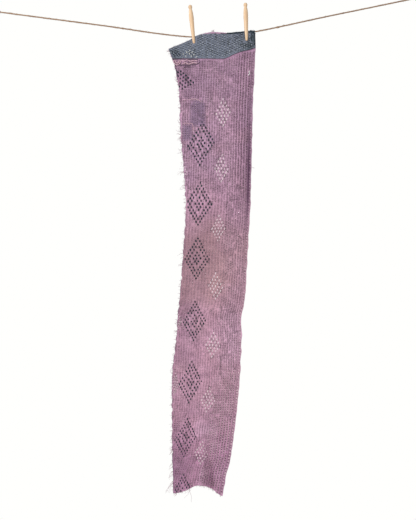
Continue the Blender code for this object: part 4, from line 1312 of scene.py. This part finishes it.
def laid_threads(name, curves, radius, lift, material, steps=36):
    """Threads that lie on the surface along smooth curves, held down every 5 mm."""
    paths = []
    for curve in curves:
        even, x, t = along_curve(curve, steps)
        s = right_edge(t) - x
        rise = lift + radius * (0.1 + 0.7 * np.abs(np.sin(even / 0.005 * math.pi)))
        paths.append(middle_of_cloth(s, t) + cloth_axes(s, t)[2] * rise[:, None])
    paths = np.stack(paths)
    width = np.full(paths.shape[:2], radius)
    width[:, [0, -1]] *= 0.5
    tone = np.linspace(0.2, 0.8, len(curves))
    return add_piece(tubes(name, paths, width, 6, {"tone": tone}), material)


def placed_stitches(table, length, width):
    """Stitches whose places are given by x and drop."""
    x, t, lean = table.T
    return Stitches(right_edge(t) - x, t, lean, length + 0 * x, width + 0 * x)


def build_patch(name, left, right, top, bottom, arch, material, quilting):
    """A thin darker patch sewn on the front: its top edge falls by arch at both ends, on a part circle."""
    u = np.linspace(0.0, 1.0, 27)[None]
    v = np.linspace(0.0, 1.0, 37)[:, None]
    upper = top + arch * (1 - np.sqrt(np.clip(1 - (2 * u - 1) ** 2, 0.0, 1.0)))
    t = upper + v * (bottom - upper)
    s = right_edge(t) - (left + u * (right - left)) + 0 * t
    middle, out = middle_of_cloth(s, t), cloth_axes(s, t)[2]
    border = np.minimum(np.minimum(u, 1 - u) * (right - left), np.minimum(v, 1 - v) * (bottom - top))
    thick = 0.00045 * ramp(border, 0, 0.0015) ** 0.5
    level = CLOTH_FACE + front_relief(quilting, s, t)
    front = middle + out * (level + 0.0001 + thick)[..., None]
    back = middle + out * (level - 0.0003)[..., None]
    values = {"puff": quilting.puff(s, t), "dent": quilting.dent(s, t) * 0.8, "warm": 0 * s,
              "brown": 0 * s, "deep": 0.22 + 0.32 * ramp(border, 0, 0.009), "rib": 0 * s}
    uv = np.stack([s, t], axis=-1)
    return add_piece(closed_sheet(name, front, back, uv, uv, values, values), material)


# The twine, its one thick place, and the knots and loops at its ends.
TWINE_RADIUS, SLUB_RISE, SLUB_X, SLUB_HALF = 0.0020, 0.0010, 0.8136, 0.0035
KNOT_HALF, KNOT_TURNS, KNOT_WOUND, KNOT_SHIFT = 0.0040, 4.0, 0.0092, 0.0012
KNOT_RADIUS, KNOT_STRAND, KNOT_LAY = 0.0026, 0.00125, 0.006
LOOP_HALF_LENGTH, LOOP_HALF_HEIGHT, LOOP_GAP = 0.0100, 0.0080, 0.0020


def line_points(count):
    """Evenly spaced points of the line's route between its knots."""
    x = np.linspace(LINE_X[0], LINE_X[-1], 4000)
    distance = running(np.hypot(np.diff(x), np.diff(smooth_curve(x, LINE_X, LINE_Z))))
    x = np.interp(np.linspace(0, distance[-1], count), distance, x)
    return np.stack([x, 0 * x, smooth_curve(x, LINE_X, LINE_Z)], axis=1), float(distance[-1])


def twine_fibres(path, count=620, seed=23):
    """Hard fibres that stand off the twine: each leaves it at a slant and bends back along it."""
    chance = np.random.default_rng(seed)
    at = chance.integers(6, len(path) - 12, count)
    run = unit(path[at + 5] - path[at])
    turn = chance.uniform(0, 2 * math.pi, count)[:, None]
    out = unit(np.cross(FORWARD, run)) * np.cos(turn) + FORWARD * np.sin(turn)
    u = np.linspace(0.0, 1.0, 5)[None, :, None]
    long = chance.uniform(0.003, 0.009, count)[:, None, None]
    lift = chance.uniform(0.0004, 0.0020, count)[:, None, None]
    paths = path[at][:, None] + run[:, None] * long * u + out[:, None] * (0.0017 + lift * np.sin(u * 2.4))
    paths = paths[~np.any([np.abs(paths[:, :, 0].mean(axis=1) - x) < 0.016 for x, _ in PEG_GRIPS], axis=0)]
    groove = chance.uniform(0.0, 0.3, len(paths))
    return tubes("twine_fibres", paths, np.full(paths.shape[:2], 0.00013), 3, {"groove": groove})


def build_line(material):
    """The twine between its two knots, and the knotted loops at its ends."""
    path, length = line_points(900)
    radius = TWINE_RADIUS + SLUB_RISE * bell(path[:, 0], SLUB_X, SLUB_HALF)
    piece = add_piece(rope("twine", path, radius, LAY), material)
    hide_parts("line")
    ends = [add_piece(twine_fibres(path), material)]
    for way, end, before in (("left", path[0], path[6]), ("right", path[-1], path[-7])):
        out = unit(end - before)
        up = np.cross(FORWARD, out)
        knot = end + out * (CLEARANCE + KNOT_HALF)
        loop = knot + out * (LOOP_HALF_LENGTH + LOOP_GAP)
        turn = np.linspace(0, 2 * math.pi, 72, endpoint=False)[:, None]
        ring = loop + out * np.cos(turn) * LOOP_HALF_LENGTH + up * np.sin(turn) * LOOP_HALF_HEIGHT
        around = add_piece(rope("loop_" + way, ring, LINE_RADIUS, LAY, closed=True), material)
        wind = np.linspace(0, 1, 150)[:, None]
        angle = wind * 2 * math.pi * KNOT_TURNS
        wrap = (knot + out * ((wind - 0.5) * KNOT_WOUND - KNOT_SHIFT) + FORWARD * np.cos(angle) * KNOT_RADIUS
                + up * np.sin(angle) * KNOT_RADIUS)
        bound = add_piece(rope("knot_" + way, wrap, KNOT_STRAND, KNOT_LAY, sides=10), material)
        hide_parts("line_loop_" + way)
        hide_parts("line_loop_" + way)
        ends += [around, bound]


def add_light(name, place, aim, size, power):
    data = bpy.data.lights.new(name, "AREA")
    data.shape, data.size, data.energy = "DISK", size, power
    lamp = bpy.data.objects.new(name, data)
    lamp.location = place
    lamp.rotation_euler = (Vector(aim) - Vector(place)).to_track_quat("-Z", "Y").to_euler()
    bpy.context.scene.collection.objects.link(lamp)


def add_studio():
    """White all round, a soft key from the upper left, a weaker one from the right, and a pale floor."""
    world = bpy.data.worlds.new("studio")
    bpy.context.scene.world = world
    world.use_nodes = True
    nodes, links = world.node_tree.nodes, world.node_tree.links
    nodes.clear()
    mix = nodes.new("ShaderNodeMixShader")
    for slot, colour, strength in ((1, (1.0, 0.99, 0.98, 1.0), 0.45), (2, (1.0, 1.0, 0.985, 1.0), 1.0)):
        sky = nodes.new("ShaderNodeBackground")
        sky.inputs["Color"].default_value = colour
        sky.inputs["Strength"].default_value = strength
        links.new(sky.outputs[0], mix.inputs[slot])
    links.new(nodes.new("ShaderNodeLightPath").outputs["Is Camera Ray"], mix.inputs[0])
    links.new(mix.outputs[0], nodes.new("ShaderNodeOutputWorld").inputs["Surface"])
    aim = (0.62, 0.0, -0.70)
    add_light("key", (-1.35, -1.75, 0.55), aim, size=0.6, power=56.0)
    add_light("fill", (2.5, -1.9, -0.2), aim, size=1.2, power=14.0)
    add_light("rim", (0.6, 2.4, 0.5), aim, size=1.6, power=26.0)

    floor = bpy.data.meshes.new("floor")
    turn = np.linspace(0, 2 * math.pi, 64, endpoint=False)
    rim = np.stack([FRAME_MIDDLE[0] + 1.6 * np.cos(turn), 1.6 * np.sin(turn), np.full(64, -2.05)], axis=1)
    floor.from_pydata(rim.tolist(), [], [list(range(64))])
    piece = bpy.data.objects.new("floor", floor)
    bpy.context.scene.collection.objects.link(piece)
    finish = Finish("pale_floor", 0.8, Specular_IOR_Level=0.2)
    finish.colour(finish.layers(linear(240, 236, 226), (finish.noise(finish.place(), 3.0), (232, 227, 216))))
    floor.materials.append(finish.material)
    bpy.context.scene.view_settings.view_transform = "Standard"


def build():
    add_camera()
    build_line(jute_finish())
    add_studio()
    plum = plum_finish("plum_kantha_cloth", (108, 74, 102))
    bluish = plum_finish("bluish_patch_cloth", (86, 76, 106))
    slate, beech = slate_finish(), beech_finish()
    cotton = {name: thread_finish(name) for name in THREADS}

    ends = panel_stitches()
    dark_set = together(
        lozenge_stitches(DARK_LOZENGES, rings=(0, 2, 5, 7), steps=7, length=0.0060, width=0.0049, seed=3),
        net_stitches(SIDE_NET, count=6, length=0.0057, width=0.0048, seed=8))
    pale_set = lozenge_stitches(PALE_LOZENGES, rings=(0, 2, 4), steps=4, length=0.0090, width=0.0029, seed=6,
                                lean=10.0)
    ground = clear_of(ground_stitches(), dark_set, gap_s=0.0030, gap_t=0.0052)
    ground = clear_of(ground, pale_set, gap_s=0.0030, gap_t=0.0056)
    through = placed_stitches(np.stack([right_edge(ends.t) - ends.s, ends.t + 0.0035, ends.lean], axis=1),
                              length=0.0040, width=0.0020)
    through = only(through, inside(through.s, through.t, 0.004) & (through.t > 0.092))
    reverse = together(ground_stitches(0.5, 12), through)

    quilting = Quilting(together(ground, dark_set, pale_set), SEAMS)
    cloth = build_cloth(plum, quilting, Quilting(reverse))
    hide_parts("cloth")
    panel = build_panel(slate, ends)
    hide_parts("blue_end_panel")
    fringe = build_frays(cotton["frayed"], cotton["blue"])

    on_cloth = CLOTH_FACE + 0.00008
    laid = on_cloth + 0.0004
    on_panel = CLOTH_FACE + CLEARANCE + PANEL_THICKNESS

    def stitched(thread, slot, *shape, **more):
        return add_piece(stitch_mesh(*shape, **more), cotton[thread])

    threads = [
        stitched("plum", "plum_threads", "ground_stitches", ground, on_cloth, height=0.0012, seed=41,
                 tones=paleness),
        stitched("plum", "plum_threads", "reverse_stitches", reverse, on_cloth, height=0.0009, seed=42, back=True),
        stitched("dark", "plum_threads", "dark_lozenges", dark_set, on_cloth + 0.0006, height=0.0020, seed=43,
                 rounder=True),
        stitched("pale", "plum_threads", "pale_lozenges", pale_set, laid, height=0.0016, seed=44, rounder=True),
        build_patch("arched_patch", left=0.5605, right=0.6085, top=0.2545, bottom=0.3330, arch=0.026,
                    material=bluish, quilting=quilting),
        build_patch("square_patch", left=0.5400, right=0.5690, top=0.3260, bottom=0.3720, arch=0.0,
                    material=bluish, quilting=quilting),
        laid_threads("pale_couching", PALE_CURVES, 0.0014, laid, cotton["rose"]),
        # These dark threads include one laid along the blue end's lower edge as its painted shadow.
        laid_threads("dark_couching_and_edge_shadow", DARK_CURVES, 0.0008, laid, cotton["dark"]),
        laid_threads("violet_couching", VIOLET_CURVES, 0.0009, laid, cotton["violet"]),
        laid_threads("pink_couching", PINK_CURVES, 0.0009, laid, cotton["rose"]),
        stitched("white", "plum_threads", "white_bits", placed_stitches(WHITE_BITS, length=0.0058, width=0.0032),
                 on_cloth + 0.0005, height=0.0018, seed=46),
    ]
    panel_details = [
        stitched("blue", "slate_cotton", "blue_end_stitches", ends, on_panel, height=0.0007, seed=45,
                 rounder=True),
        laid_threads("blue_end_dark_threads", PANEL_DARK_CURVES, 0.0010, on_panel, cotton["dark"]),
        # These knotted threads include one laid right of the right peg as its painted shadow.
        laid_threads("knotted_threads_and_peg_shadow", CORNER_CURVES, 0.0011, on_panel, cotton["dark"]),
        stitched("ivory", "plum_threads", "blue_end_pale_stitches",
                 placed_stitches(PALE_DOTS, length=0.0056, width=0.0028), on_panel + 0.0003, height=0.0016,
                 seed=47),
    ]
    threads + fringe

    for name in ("peg_left", "peg_right"):
        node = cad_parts[name]
        node.data.materials.clear()
        node.data.materials.append(beech)


build()
